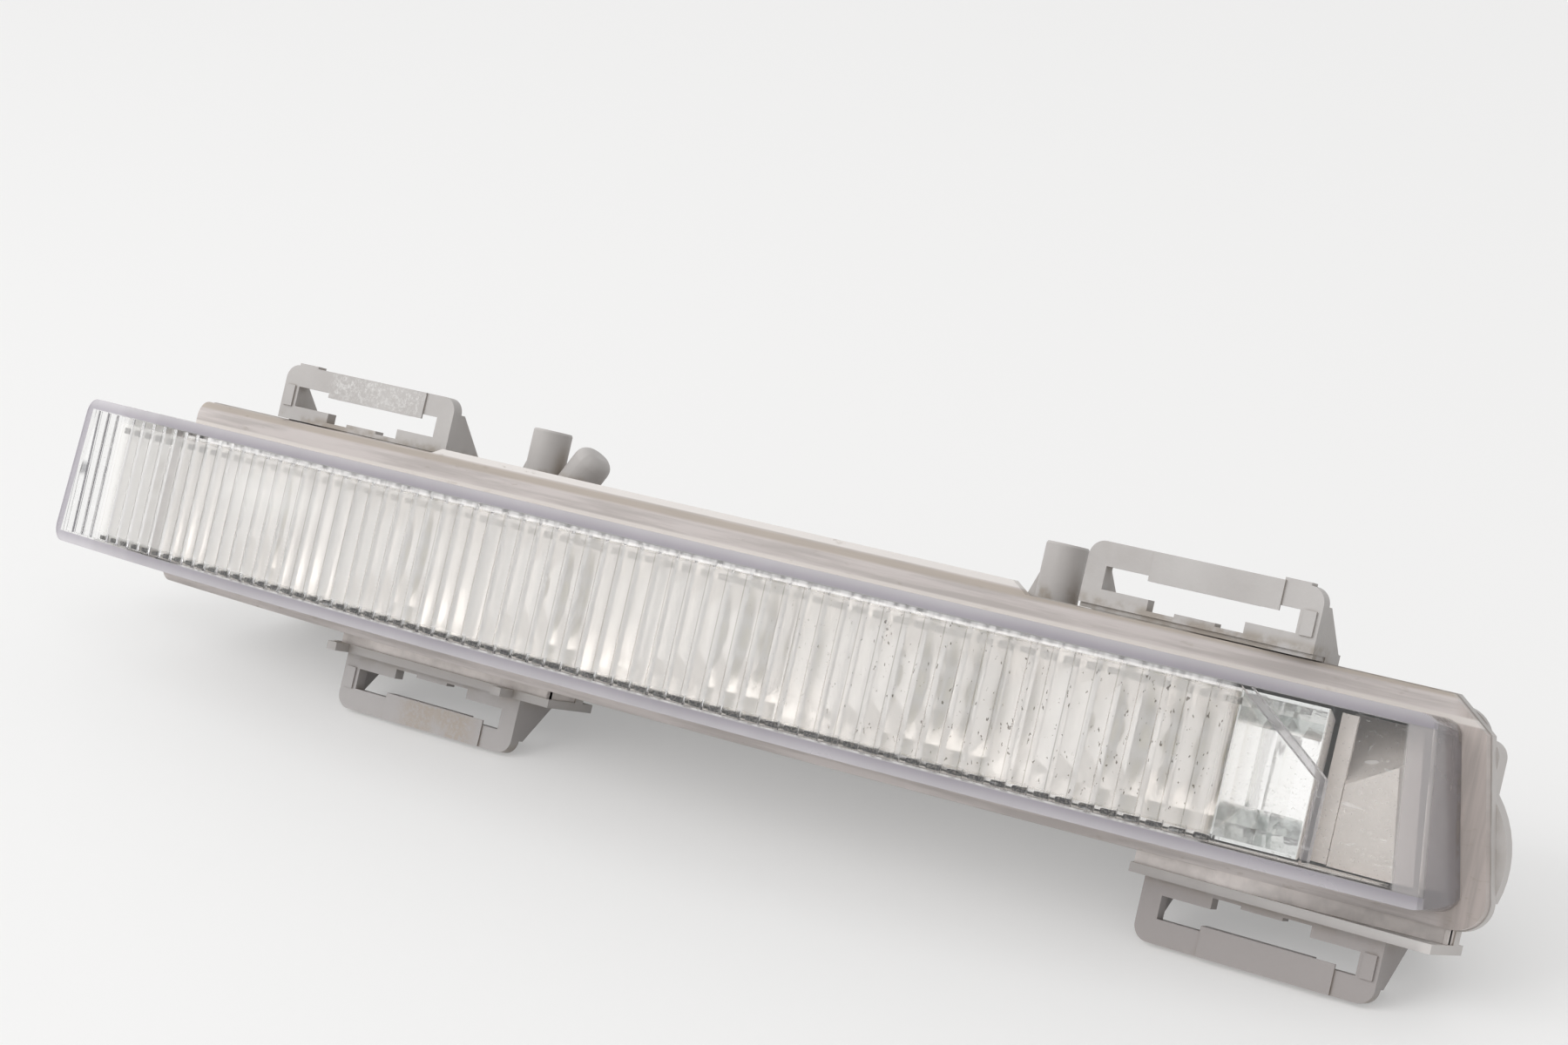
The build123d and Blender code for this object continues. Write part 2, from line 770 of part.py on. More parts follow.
with BuildPart() as rear_housing:
    add(tub_shape(0))
    with BuildSketch(face(end_back)):
        add(end_boss.sketch)
    extrude(amount=2 * end_boss_depth)
    add(ahead_of_rim, mode=Mode.SUBTRACT)
    add(bowed(flange_outline(-rim_dip, rim_margin), rim_front, rim_rear))
    add(platform)
    add(bowed(well_outline(seal_width), flange_front, rim_rear), mode=Mode.SUBTRACT)
    add(tub_shape(tub_wall), mode=Mode.SUBTRACT)
    for middle, mark_side in ((upper_clip_left, -1), (upper_clip_right, 1)):
        half = clip_width / 2
        base = upper_clip_base
        front, back = -upper_clip_forward, gusset_reach - upper_clip_forward
        add(snap_clip(middle, base, 1, front, mark_side, upper_root))
        add(slab(middle - half, middle + half, front, back, base, base + foot_thickness))
        foot_front = bow(middle + mark_side * half, rim_front)[1] + clearance
        add(slab(middle - half, middle + half, foot_front, back, upper_root, base))
    for middle, mark_side in ((lower_clip_left, -1), (lower_clip_right, 1)):
        base = -lower_clip_drop
        add(snap_clip(middle, base, -1, lower_clip_depth, mark_side, base + ledge_thickness))
        left, right = middle - ledge_left, middle + ledge_right
        front = lower_clip_depth - ledge_overhang
        web_front = max(ledge_web_depth, bow(right, rim_front)[1] + clearance)
        web_back = web_front + ledge_web
        back = max(lower_clip_depth + gusset_reach, web_back)
        add(slab(left, right, front, back, base, base + ledge_thickness))
        add(slab(left, right, web_front, web_back, base, lower_root))
    flange_room = flange_outline(flange_lip, clearance / 2)
    add(bowed(flange_room, flange_front - clearance, rim_front), mode=Mode.SUBTRACT)
    add(sink_posts.part)
    add(posts(driver_posts, post_diameter, driver_rear))
    add(bezel_post.part)
    for middle in (tube_left, tube_right):
        with BuildSketch(level(upper_root)):
            with Locations((middle, tube_depth)):
                Circle(tube_outer / 2)
        extrude(amount=tube_top - tube_edge - upper_root)
        with BuildSketch(level(tube_top - tube_edge)):
            with Locations((middle, tube_depth)):
                Circle(tube_outer / 2)
        extrude(amount=tube_edge, taper=tube_taper)
        with BuildSketch(face(tube_depth + tube_rib / 2)):
            with BuildLine():
                Polyline(
                    (middle, upper_root),
                    (middle - tube_outer / 2 - tube_rib_reach, upper_root),
                    (middle - tube_outer / 2, upper_root + tube_rib_height),
                    (middle, upper_root + tube_rib_height),
                    close=True,
                )
            make_face()
        extrude(amount=tube_rib)
    add(peg.part)
    with BuildSketch(level(tube_top)):
        with Locations((tube_left, tube_depth), (tube_right, tube_depth)):
            Circle(tube_bore / 2)
    extrude(amount=-tube_bore_depth, mode=Mode.SUBTRACT)
    with BuildSketch(face(housing_rear)):
        with Locations((breather_across, 0)):
            Circle(breather_spigot / 2)
    extrude(amount=-breather_spigot_height)
    with BuildSketch(face(inner_rear - clearance)):
        with Locations((breather_across, 0)):
            Circle(breather_bore / 2)
    extrude(amount=-tub_wall - breather_spigot_height - 2 * clearance, mode=Mode.SUBTRACT)
    with BuildSketch(face(inner_rear - clearance)):
        with Locations(*pin_places):
            Rectangle(pin_width + 2 * pin_gap, pin_width + 2 * pin_gap)
    extrude(amount=-tub_wall - 2 * clearance, mode=Mode.SUBTRACT)
    for index in post_bores:
        with BuildSketch(bay(post_angle(index), sink_rear - clearance)):
            Circle(screw_hole_radius)
        extrude(amount=-screw_grip, mode=Mode.SUBTRACT)
    with BuildSketch(face(driver_rear - clearance)):
        with Locations(*driver_posts):
            Circle(screw_hole_radius)
    extrude(amount=-driver_grip, mode=Mode.SUBTRACT)
rear_housing.part.label = "rear_housing"
export_step(rear_housing.part, "parts/rear_housing.step")

# Reflector: a row of metallised cells that meet in sharp edges, with two narrow end cells
row_top = lens_rise - lens_side_wall - reflector_gap
row_foot = lens_drop - lens_side_wall - reflector_gap
row_up = (row_top - row_foot) / 2
mouth_height = row_top + row_foot - 2 * cell_lip
end_cell_angle = degrees(end_cell_width / mouth_radius)


def cell_centre(index):
    return row_angle + (index - (cell_count - 1) / 2) * cell_angle


def end_cell_centre(index):
    return cell_centre(cell_count - 1) + cell_angle / 2 + (index + 0.5) * end_cell_angle


def horn(angle, sections):
    # a flared horn from a narrow throat to the cell's mouth
    with BuildPart() as shape:
        for behind, width, height in sections:
            with BuildSketch(bay(angle, behind)):
                with Locations((0, row_up)):
                    Rectangle(width, height)
        loft(ruled=True)
    return shape.part


def cell_walls(angle, width, middle, back, throat):
    # the outside of one cell
    skin = 2 * cell_wall
    share = cell_middle_share
    return horn(
        angle,
        (
            (back, throat[0] + skin, throat[1] + skin),
            (middle, width * share + skin, mouth_height * share + skin),
            (reflector_front, width + 2 * cell_lip, mouth_height + 2 * cell_lip),
        ),
    )


def cell_room(angle, width, middle, back, throat):
    # the inside of one cell, just wider at its mouth than the pitch
    share = cell_middle_share
    return horn(
        angle,
        (
            (back, *throat),
            (middle, width * share, mouth_height * share),
            (reflector_front - clearance, width + 2 * cell_ridge, mouth_height),
        ),
    )


main_throat = (cell_throat_width, cell_throat_height)
end_throat = (end_cell_floor_width, end_cell_floor_height)
throat_back = board_front + clearance
end_floor = end_cell_back - cell_wall
with BuildPart() as reflector:
    for index in range(cell_count):
        add(cell_walls(cell_centre(index), cell_pitch, cell_middle_depth, board_front, main_throat))
    for index in range(end_cell_count):
        add(cell_walls(end_cell_centre(index), end_cell_width, end_cell_middle, end_cell_back, end_throat))
    for index in range(cell_count):
        room = cell_room(cell_centre(index), cell_pitch, cell_middle_depth, throat_back, main_throat)
        add(room, mode=Mode.SUBTRACT)
    for index in range(end_cell_count):
        room = cell_room(end_cell_centre(index), end_cell_width, end_cell_middle, end_floor, end_throat)
        add(room, mode=Mode.SUBTRACT)
reflector.part.label = "reflector"
export_step(reflector.part, "parts/reflector.step")


# End bezel: a satin panel with sloping returns behind the clear window
def bezel_quad(left, right_foot, right_top, foot, top_left, top_right):
    with BuildSketch() as quad:
        with BuildLine():
            Polyline((left, foot), (right_foot, foot), (right_top, top_right), (left, top_left), close=True)
        make_face()
    return quad.sketch


bezel_back = bezel_panel + bezel_depth
bezel_edge_foot = right_edge(-row_foot, flange_end_margin) - lens_side_wall - reflector_gap
bezel_edge_top = right_edge(row_top, flange_end_margin) - lens_side_wall - reflector_gap


def bezel_hull(inset, front, back):
    with BuildPart() as hull:
        with BuildSketch(face(back)):
            add(
                bezel_quad(
                    bezel_left - bezel_spread + inset,
                    bezel_edge_foot - inset,
                    bezel_edge_top - inset,
                    inset - row_foot,
                    row_top - inset,
                    row_top - inset,
                )
            )
        with BuildSketch(face(front)):
            add(
                bezel_quad(
                    bezel_left + inset,
                    bezel_right - inset,
                    bezel_right - bezel_rake - inset,
                    inset - row_foot,
                    window_corner_up - inset,
                    window_corner_up + bezel_slope - inset,
                )
            )
        loft(ruled=True)
    return hull.part


with BuildPart() as end_bezel:
    add(bezel_hull(0, bezel_panel, bezel_back))
    add(bezel_hull(bezel_wall, bezel_panel + bezel_wall, bezel_back + clearance), mode=Mode.SUBTRACT)
end_bezel.part.label = "end_bezel"
export_step(end_bezel.part, "parts/end_bezel.step")

# Metal-core board that carries the LEDs, bent to the bow
with BuildSketch() as board_outline:
    with Locations((row_middle, 0)):
        Rectangle(cell_count * cell_pitch - 2 * board_end_margin, board_height)
with BuildPart() as led_board:
    add(bowed(board_outline.sketch, board_front, board_rear))
    for index in post_bores:
        with BuildSketch(bay(post_angle(index), board_front - clearance)):
            Circle(screw_hole_radius)
        extrude(amount=-board_thickness - 2 * clearance, mode=Mode.SUBTRACT)
led_board.part.label = "led_board"
export_step(led_board.part, "parts/led_board.step")

# LEDs, one at the throat of each cell
for index in range(cell_count):
    with BuildPart() as led:
        seat = bay(cell_centre(index), board_front)
        with BuildSketch(seat):
            with Locations((0, row_up)):
                Rectangle(led_size, led_size)
        extrude(amount=led_height)
        with BuildSketch(seat.offset(led_height)):
            with Locations((0, row_up)):
                Circle(led_size / 2 - led_edge)
        extrude(amount=led_dome)
        chamfer(led.faces().sort_by(Axis(seat.origin, seat.z_dir))[-1].edges(), led_dome / 2)
    led.part.label = f"led_{index + 1}"
    export_step(led.part, f"parts/led_{index + 1}.step")

# Heat sink with upright fins behind the board
with BuildPart() as heat_sink:
    add(bowed(board_outline.sketch, board_rear, sink_rear))
    for index in range(cell_count):
        for fin in range(sink_fins_per_cell):
            across = (fin / (sink_fins_per_cell - 1) - 0.5) * fin_span
            turn = cell_centre(index) + across / cell_pitch * cell_angle
            with BuildSketch(bay(turn, sink_rear - sink_thickness / 2)):
                Rectangle(sink_fin_thickness, board_height)
            extrude(amount=-sink_fin_reach - sink_thickness / 2)
    for index in post_bores:
        with BuildSketch(bay(post_angle(index), board_rear - clearance)):
            Circle(screw_hole_radius)
        extrude(amount=-sink_thickness - 2 * clearance, mode=Mode.SUBTRACT)
heat_sink.part.label = "heat_sink"
export_step(heat_sink.part, "parts/heat_sink.step")

# Screws that hold the board and the sink on their posts
with BuildPart() as sink_screws:
    for index in post_bores:
        seat = bay(post_angle(index), board_front)
        with BuildSketch(seat):
            Circle(screw_head / 2)
        extrude(amount=screw_head_height)
        with BuildSketch(seat):
            Circle(screw_diameter / 2)
        extrude(amount=-board_thickness - sink_thickness - screw_grip + 2 * clearance)
sink_screws.part.label = "sink_screws"
export_step(sink_screws.part, "parts/sink_screws.step")

# Driver board on its posts, with the parts that it carries
with BuildPart() as driver_board:
    with BuildSketch(face(driver_rear)):
        with Locations((row_middle, 0)):
            Rectangle(driver_width, driver_height)
        with Locations(*driver_posts):
            Circle(screw_hole_radius, mode=Mode.SUBTRACT)
    extrude(amount=driver_thickness)
driver_board.part.label = "driver_board"
export_step(driver_board.part, "parts/driver_board.step")

with BuildPart() as driver_screws:
    with BuildSketch(face(driver_front)):
        with Locations(*driver_posts):
            Circle(screw_head / 2)
    extrude(amount=screw_head_height)
    with BuildSketch(face(driver_front)):
        with Locations(*driver_posts):
            Circle(screw_diameter / 2)
    extrude(amount=-driver_thickness - driver_grip + 2 * clearance)
driver_screws.part.label = "driver_screws"
export_step(driver_screws.part, "parts/driver_screws.step")

with BuildPart() as driver_inductor:
    with BuildSketch(face(driver_front)):
        with Locations((row_middle + driver_clear - inductor_diameter / 2, 0)):
            Circle(inductor_diameter / 2)
    extrude(amount=inductor_height)
driver_inductor.part.label = "driver_inductor"
export_step(driver_inductor.part, "parts/driver_inductor.step")

outer_capacitor = capacitor_diameter / 2 - driver_clear
for number, across in enumerate((outer_capacitor + capacitor_pitch, outer_capacitor), start=1):
    with BuildPart() as capacitor:
        with BuildSketch(face(driver_front)):
            with Locations((row_middle + across, 0)):
                Circle(capacitor_diameter / 2)
        extrude(amount=capacitor_height)
    capacitor.part.label = f"driver_capacitor_{number}"
    export_step(capacitor.part, f"parts/driver_capacitor_{number}.step")

with BuildPart() as driver_chip:
    with BuildSketch(face(driver_front)):
        with Locations((row_middle + chip_across, 0)):
            Rectangle(chip_side, chip_side)
    extrude(amount=chip_height)
driver_chip.part.label = "driver_chip"
export_step(driver_chip.part, "parts/driver_chip.step")

# Connector shroud: a flanged socket on the rear wall
with BuildPart() as connector_shroud:
    with BuildSketch(face(housing_rear)):
        with Locations((shroud_across, 0)):
            RectangleRounded(shroud_width + 2 * shroud_foot, shroud_height + 2 * shroud_foot, shroud_corner)
    extrude(amount=-shroud_floor)
    with BuildSketch(face(housing_rear)):
        with Locations((shroud_across, 0)):
            RectangleRounded(shroud_width, shroud_height, shroud_corner)
    extrude(amount=-shroud_length)
    with BuildSketch(face(housing_rear + shroud_floor)):
        with Locations((shroud_across, 0)):
            Rectangle(shroud_width - 2 * shroud_wall, shroud_height - 2 * shroud_wall)
        with Locations((shroud_across, shroud_height / 2 - shroud_wall)):
            Rectangle(shroud_key_width, 2 * shroud_key_depth)
    extrude(amount=-shroud_length, mode=Mode.SUBTRACT)
    with BuildSketch(face(housing_rear - clearance)):
        with Locations(*pin_places):
            Rectangle(pin_width + 2 * pin_gap, pin_width + 2 * pin_gap)
    extrude(amount=-shroud_floor - 2 * clearance, mode=Mode.SUBTRACT)
connector_shroud.part.label = "connector_shroud"
export_step(connector_shroud.part, "parts/connector_shroud.step")

# Contact pins from the driver board through the rear wall into the shroud
with BuildPart() as connector_pins:
    with BuildSketch(face(driver_rear)):
        with Locations(*pin_places):
            Rectangle(pin_width, pin_width)
    extrude(amount=driver_rear - housing_rear - pin_reach)
connector_pins.part.label = "connector_pins"
export_step(connector_pins.part, "parts/connector_pins.step")

# Rubber breather cap on its spigot
with BuildPart() as breather_cap:
    with BuildSketch(face(housing_rear)):
        with Locations((breather_across, 0)):
            Circle(breather_diameter / 2)
    extrude(amount=-breather_height)
    chamfer(breather_cap.faces().sort_by(Axis(lamp.origin, lamp.z_dir))[0].edges(), breather_edge)
    with BuildSketch(face(housing_rear)):
        with Locations((breather_across, 0)):
            Circle(breather_spigot / 2 + clearance / 3)
    extrude(amount=-breather_spigot_height - clearance, mode=Mode.SUBTRACT)
breather_cap.part.label = "breather_cap"
export_step(breather_cap.part, "parts/breather_cap.step")
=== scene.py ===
import math

import bpy
from mathutils import Matrix, Vector


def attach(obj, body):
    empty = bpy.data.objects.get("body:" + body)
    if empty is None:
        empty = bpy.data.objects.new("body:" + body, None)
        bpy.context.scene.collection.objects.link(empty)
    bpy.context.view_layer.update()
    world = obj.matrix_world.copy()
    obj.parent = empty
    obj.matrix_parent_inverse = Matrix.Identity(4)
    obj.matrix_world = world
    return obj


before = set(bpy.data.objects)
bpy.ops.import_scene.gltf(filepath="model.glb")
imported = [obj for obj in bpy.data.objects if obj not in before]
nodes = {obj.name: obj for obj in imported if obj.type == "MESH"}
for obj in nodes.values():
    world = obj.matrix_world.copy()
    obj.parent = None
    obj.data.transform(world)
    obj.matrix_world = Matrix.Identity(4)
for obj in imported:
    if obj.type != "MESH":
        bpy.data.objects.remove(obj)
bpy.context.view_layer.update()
print("frame loaded:", len(nodes), "nodes")

# the lamp's own axes: across, depth and up, leaning back on the floor
stance = {"lean": math.radians(23.470993), "originY": -0.013418, "originZ": 0.032959}
leanSin = math.sin(stance["lean"])
leanCos = math.cos(stance["lean"])

# the bow of the lens, which the flutes and the colours of the lens follow
bow = {"radius": 0.611, "centreAcross": 0.0065, "centreDepth": 0.586}


def lampPoint(across, depth, up):
    y = stance["originY"] + up * leanSin + depth * leanCos
    z = stance["originZ"] + up * leanCos - depth * leanSin
    return Vector((across, y, z))


# node helpers
def addNode(tree, kind, links=None, **settings):
    node = tree.nodes.new(kind)
    for key, value in settings.items():
        setattr(node, key, value)
    for socket, value in (links or {}).items():
        target = node.inputs[socket]
        if isinstance(value, bpy.types.NodeSocket):
            tree.links.new(value, target)
        else:
            target.default_value = value
    return node


def newMaterial(name):
    material = bpy.data.materials.new(name)
    material.use_nodes = True
    tree = material.node_tree
    tree.nodes.clear()
    output = addNode(tree, "ShaderNodeOutputMaterial")
    return material, tree, output


def objectPoint(tree):
    return addNode(tree, "ShaderNodeTexCoord").outputs["Object"]


def lampSpace(tree):
    # object coordinates turned into the lamp's across, depth and up
    shift = Matrix.Rotation(stance["lean"], 3, "X") @ Vector((0, stance["originY"], stance["originZ"]))
    mapping = addNode(tree, "ShaderNodeMapping", {"Vector": objectPoint(tree)}, vector_type="POINT")
    mapping.inputs["Rotation"].default_value = (stance["lean"], 0, 0)
    mapping.inputs["Location"].default_value = (-shift.x, -shift.y, -shift.z)
    split = addNode(tree, "ShaderNodeSeparateXYZ", {0: mapping.outputs[0]})
    return mapping.outputs[0], split.outputs[0], split.outputs[1], split.outputs[2]


def math2(tree, operation, first, second=0.0, clamp=False):
    node = addNode(tree, "ShaderNodeMath", {0: first, 1: second}, operation=operation, use_clamp=clamp)
    return node.outputs[0]


def ramp01(tree, value, low, high):
    # 0 at low, 1 at high, smooth between
    node = addNode(
        tree,
        "ShaderNodeMapRange",
        {"Value": value, "From Min": low, "From Max": high, "To Min": 0.0, "To Max": 1.0},
        interpolation_type="SMOOTHSTEP",
    )
    return node.outputs["Result"]


def band(tree, value, low, high, soft):
    rise = ramp01(tree, value, low - soft, low + soft)
    fall = ramp01(tree, value, high + soft, high - soft)
    return math2(tree, "MULTIPLY", rise, fall)


def times(tree, *factors):
    result = factors[0]
    for factor in factors[1:]:
        result = math2(tree, "MULTIPLY", result, factor)
    return result


def largest(tree, *values):
    result = values[0]
    for value in values[1:]:
        result = math2(tree, "MAXIMUM", result, value)
    return result


def spread(tree, value, low, high):
    # a 0 to 1 value turned into low to high
    node = addNode(tree, "ShaderNodeMapRange", {"Value": value, "To Min": low, "To Max": high})
    return node.outputs["Result"]


def noise(tree, vector, scale, detail=4.0, rough=0.55, stretch=None):
    if stretch:
        vector = addNode(tree, "ShaderNodeMapping", {"Vector": vector, "Scale": stretch}).outputs[0]
    sockets = {"Vector": vector, "Scale": scale, "Detail": detail, "Roughness": rough}
    return addNode(tree, "ShaderNodeTexNoise", sockets).outputs["Fac"]


def boosted(tree, value, factor):
    # a weight made stronger, 1 at most
    return math2(tree, "MINIMUM", times(tree, value, factor), 1.0)


def mixColour(tree, fac, first, second):
    node = addNode(tree, "ShaderNodeMix", data_type="RGBA", blend_type="MIX")
    for socket, value in ((0, fac), (6, first), (7, second)):
        if isinstance(value, bpy.types.NodeSocket):
            tree.links.new(value, node.inputs[socket])
        else:
            node.inputs[socket].default_value = value if socket == 0 else (*value[:3], 1.0)
    return node.outputs[2]


def bump(tree, height, strength, distance):
    sockets = {"Height": height, "Strength": strength, "Distance": distance}
    return addNode(tree, "ShaderNodeBump", sockets).outputs[0]


def behindFront(tree, across, depth):
    # how far a point lies behind the lens's bowed front
    side = math2(tree, "SUBTRACT", across, bow["centreAcross"])
    far = math2(tree, "SUBTRACT", bow["centreDepth"], depth)
    square = math2(tree, "ADD", math2(tree, "MULTIPLY", side, side), math2(tree, "MULTIPLY", far, far))
    return math2(tree, "SUBTRACT", bow["radius"], math2(tree, "SQRT", square))


def pastLine(tree, across, up, atZero, slope):
    # how far right of a slanted upright line a point lies
    line = math2(tree, "ADD", math2(tree, "MULTIPLY", up, slope), atZero)
    return math2(tree, "SUBTRACT", across, line)


def dress(node, material):
    slots = nodes[node].data.materials
    if len(slots):
        for index in range(len(slots)):
            slots[index] = material
    else:
        slots.append(material)


# housing: light warm grey moulding, scuffed on its clips, with brown dirt along the lens, painted shade with
# dirt in its hollows and painted shade on its lower clips
housingLook = {
    "grey": (0.455, 0.432, 0.418),
    "pale": (0.515, 0.495, 0.48),
    "fleck": (0.42, 0.39, 0.365),
    "scuff": (0.70, 0.69, 0.675),
    "dirt": (0.27, 0.22, 0.165),
    "roughness": 0.46,
    "lowShadeLeft": (0.42, 0.40, 0.395),
    "lowShadeRight": (0.325, 0.297, 0.29),
    "stain": (0.40, 0.345, 0.295),
    "boss": (0.60, 0.57, 0.55),
    "upperPad": (0.0286, 0.0336),
    "upperPadAcross": (-0.0955, -0.0705),
    "lowerPad": (-0.0336, -0.0282),
    "lowerPadAcross": (-0.0625, -0.0445),
    "bossFrom": 0.1605,
    "flangeTop": (0.0205, 0.0238),
    "lowAcross": (-0.05, 0.11),
    "lowUp": (-0.0205, -0.0235),
    "broadScale": 34.0,
    "mottleScale": 190.0,
    "fineScale": 1400.0,
    "grainScale": 1300.0,
    "fleckShare": 0.25,
    "scuffShare": 0.8,
    "lowShadeShare": 0.9,
    "stainShare": 0.9,
    "bossShare": 0.8,
    "dirtAndShadeShare": 0.6,
    "hollowReach": 0.005,
    "specular": 0.4,
    "grainBump": (0.18, 0.0002),
}


def makeHousing():
    material, tree, output = newMaterial("housingGrey")
    point, across, depth, up = lampSpace(tree)
    broad = noise(tree, point, housingLook["broadScale"], 5.0)
    mottle = noise(tree, point, housingLook["mottleScale"], 4.0)
    fine = noise(tree, point, housingLook["fineScale"], 3.0)
    colour = mixColour(tree, ramp01(tree, broad, 0.36, 0.66), housingLook["grey"], housingLook["pale"])
    flecks = times(tree, ramp01(tree, mottle, 0.58, 0.72), housingLook["fleckShare"])
    colour = mixColour(tree, flecks, colour, housingLook["fleck"])
    # a white rubbed patch on the upper left clip
    grain = noise(tree, point, housingLook["grainScale"], 5.0, 0.8)
    pad = times(
        tree,
        band(tree, up, *housingLook["upperPad"], 0.0004),
        band(tree, across, *housingLook["upperPadAcross"], 0.002),
    )
    rubbed = times(tree, pad, ramp01(tree, grain, 0.44, 0.66), housingLook["scuffShare"])
    colour = mixColour(tree, rubbed, colour, housingLook["scuff"])
    # the lower clips get painted shade, greyer on the left and darkest on the right, and the left one has a
    # brown stain on its pad
    rightward = ramp01(tree, across, *housingLook["lowAcross"])
    lowShadeTone = mixColour(tree, rightward, housingLook["lowShadeLeft"], housingLook["lowShadeRight"])
    lowShadePart = times(tree, ramp01(tree, up, *housingLook["lowUp"]), housingLook["lowShadeShare"])
    colour = mixColour(tree, lowShadePart, colour, lowShadeTone)
    lowPad = times(
        tree,
        band(tree, up, *housingLook["lowerPad"], 0.0006),
        band(tree, across, *housingLook["lowerPadAcross"], 0.003),
    )
    blotches = times(tree, ramp01(tree, grain, 0.36, 0.56), ramp01(tree, mottle, 0.3, 0.5))
    stained = times(tree, lowPad, blotches, housingLook["stainShare"])
    colour = mixColour(tree, stained, colour, housingLook["stain"])
    end = ramp01(tree, across, housingLook["bossFrom"] - 0.001, housingLook["bossFrom"] + 0.001)
    colour = mixColour(tree, times(tree, end, housingLook["bossShare"]), colour, housingLook["boss"])
    # painted shade with dirt in it: brown darkening in hollows, found by an occlusion node, and dirt along
    # the top of the lens flange
    reach = {"Distance": housingLook["hollowReach"]}
    hollow = addNode(tree, "ShaderNodeAmbientOcclusion", reach, samples=6).outputs["AO"]
    hollowShade = times(tree, ramp01(tree, hollow, 0.85, 0.35), ramp01(tree, mottle, 0.32, 0.58))
    topLine = times(tree, band(tree, up, *housingLook["flangeTop"], 0.0008), ramp01(tree, mottle, 0.42, 0.6))
    dirtAndHollowShade = times(tree, largest(tree, hollowShade, topLine), housingLook["dirtAndShadeShare"])
    colour = mixColour(tree, dirtAndHollowShade, colour, housingLook["dirt"])
    rough = spread(tree, mottle, housingLook["roughness"] - 0.08, housingLook["roughness"] + 0.12)
    shader = addNode(tree, "ShaderNodeBsdfPrincipled", {"Base Color": colour, "Roughness": rough})
    shader.inputs["Specular IOR Level"].default_value = housingLook["specular"]
    tree.links.new(bump(tree, fine, *housingLook["grainBump"]), shader.inputs["Normal"])
    tree.links.new(shader.outputs[0], output.inputs[0])
    return material


# clear lens: violet-grey along its rim, warm and dusty on its flange, fine lines between the flutes, and
# painted highlights along its lip, over the ends of the flutes and on a patch of the front
lensLook = {
    "clear": (1.0, 0.997, 0.992),
    "violet": (0.40, 0.375, 0.415),
    "lilac": (0.565, 0.54, 0.57),
    "warm": (0.655, 0.60, 0.58),
    "cool": (0.51, 0.465, 0.445),
    "brownLine": (0.46, 0.395, 0.33),
    "paleLine": (0.76, 0.715, 0.68),
    "lipHighlight": (0.82, 0.78, 0.75),
    "topHighlight": (0.97, 0.955, 0.95),
    "frosted": (0.97, 0.955, 0.93),
    "rightGrey": (0.74, 0.705, 0.705),
    "rightWarm": (0.53, 0.465, 0.435),
    "rightCool": (0.44, 0.39, 0.365),
    "film": (0.98, 0.965, 0.945),
    "rib": (0.80, 0.775, 0.79),
    "soot": (0.22, 0.20, 0.18),
    "endGrey": (0.47, 0.44, 0.455),
    "dirt": (0.34, 0.285, 0.225),
    "dust": (0.70, 0.68, 0.65),
    "wingLine": (0.20, 0.20, 0.21),
    "mainLine": (0.60, 0.58, 0.55),
    "ior": 1.49,
    "bandTop": 0.0148,
    "bandFoot": -0.0130,
    "topEdge": 0.017,
    "footEdge": -0.0152,
    "boxDepth": 0.0115,
    "leftAtZero": -0.1668,
    "leftSlope": 0.0776,
    "leftWidth": 0.0024,
    "rightAtZero": 0.1588,
    "rightSlope": -0.118,
    "wallAcross": (-0.1545, -0.131),
    "topHighlightAcross": (-0.118, 0.123),
    "topHighlightUp": (0.0136, 0.0147),
    "footHighlightUp": (-0.0130, -0.01265),
    "filmUp": (-0.0111, 0.0134),
    "ribBehind": (0.0032, 0.0046),
    "ribAcross": (0.1246, 0.1424),
    "ribUp": (-0.0118, 0.0136),
    "glareAcross": (-0.108, -0.078),
    "glareUp": (0.003, 0.010),
    "brownUp": (0.0206, 0.0219),
    "paleUp": (0.0165, 0.0177),
    "lipUp": (0.0220, 0.0223),
    "seamBehind": (0.0101, 0.0114),
    "wallBehind": (0.0044, 0.0050),
    "sootAcross": (0.02, 0.09),
    "rimShare": (0.62, 0.86),
    "endShare": (0.3, 0.55),
    "wallShare": (0.45, 0.65),
    "highlightOverShare": (0.25, 0.55),
    "filmShare": (0.24, 0.38),
    "dustShare": (0.05, 0.3),
    "brownShare": (0.5, 1.0),
    "glareShare": 0.14,
    "veilShare": 0.4,
    "ribShare": 0.5,
    "sootShare": 0.5,
    "flangeShare": 0.96,
    "speckShare": 0.4,
    "seamShare": 0.5,
    "paleShare": 0.85,
    "scratchShare": 0.18,
    "wingLineShare": 0.5,
    "mainLineShare": 0.34,
    "mainLineTint": 0.85,
    "fluteHaze": 0.09,
    "frostHaze": 0.35,
}
flutes = {
    "wingStart": -0.168,
    "wingEnd": -0.1532,
    "wingCount": 4,
    "mainStart": -0.1508,
    "mainEnd": 0.124,
    "mainCount": 67,
    "lineHalf": 0.00016,
    "valley": 0.003,
    "crest": 0.00355,
}


def fluteLine(tree, across, start, end, count):
    # a thin upright line at each edge between two flutes
    step = (end - start) / count
    share = math2(tree, "DIVIDE", math2(tree, "SUBTRACT", across, start), step)
    near = math2(tree, "ABSOLUTE", math2(tree, "SUBTRACT", share, math2(tree, "ROUND", share)))
    line = ramp01(tree, near, flutes["lineHalf"] / step, 0.3 * flutes["lineHalf"] / step)
    return times(tree, line, band(tree, across, start, end, 0.0005))


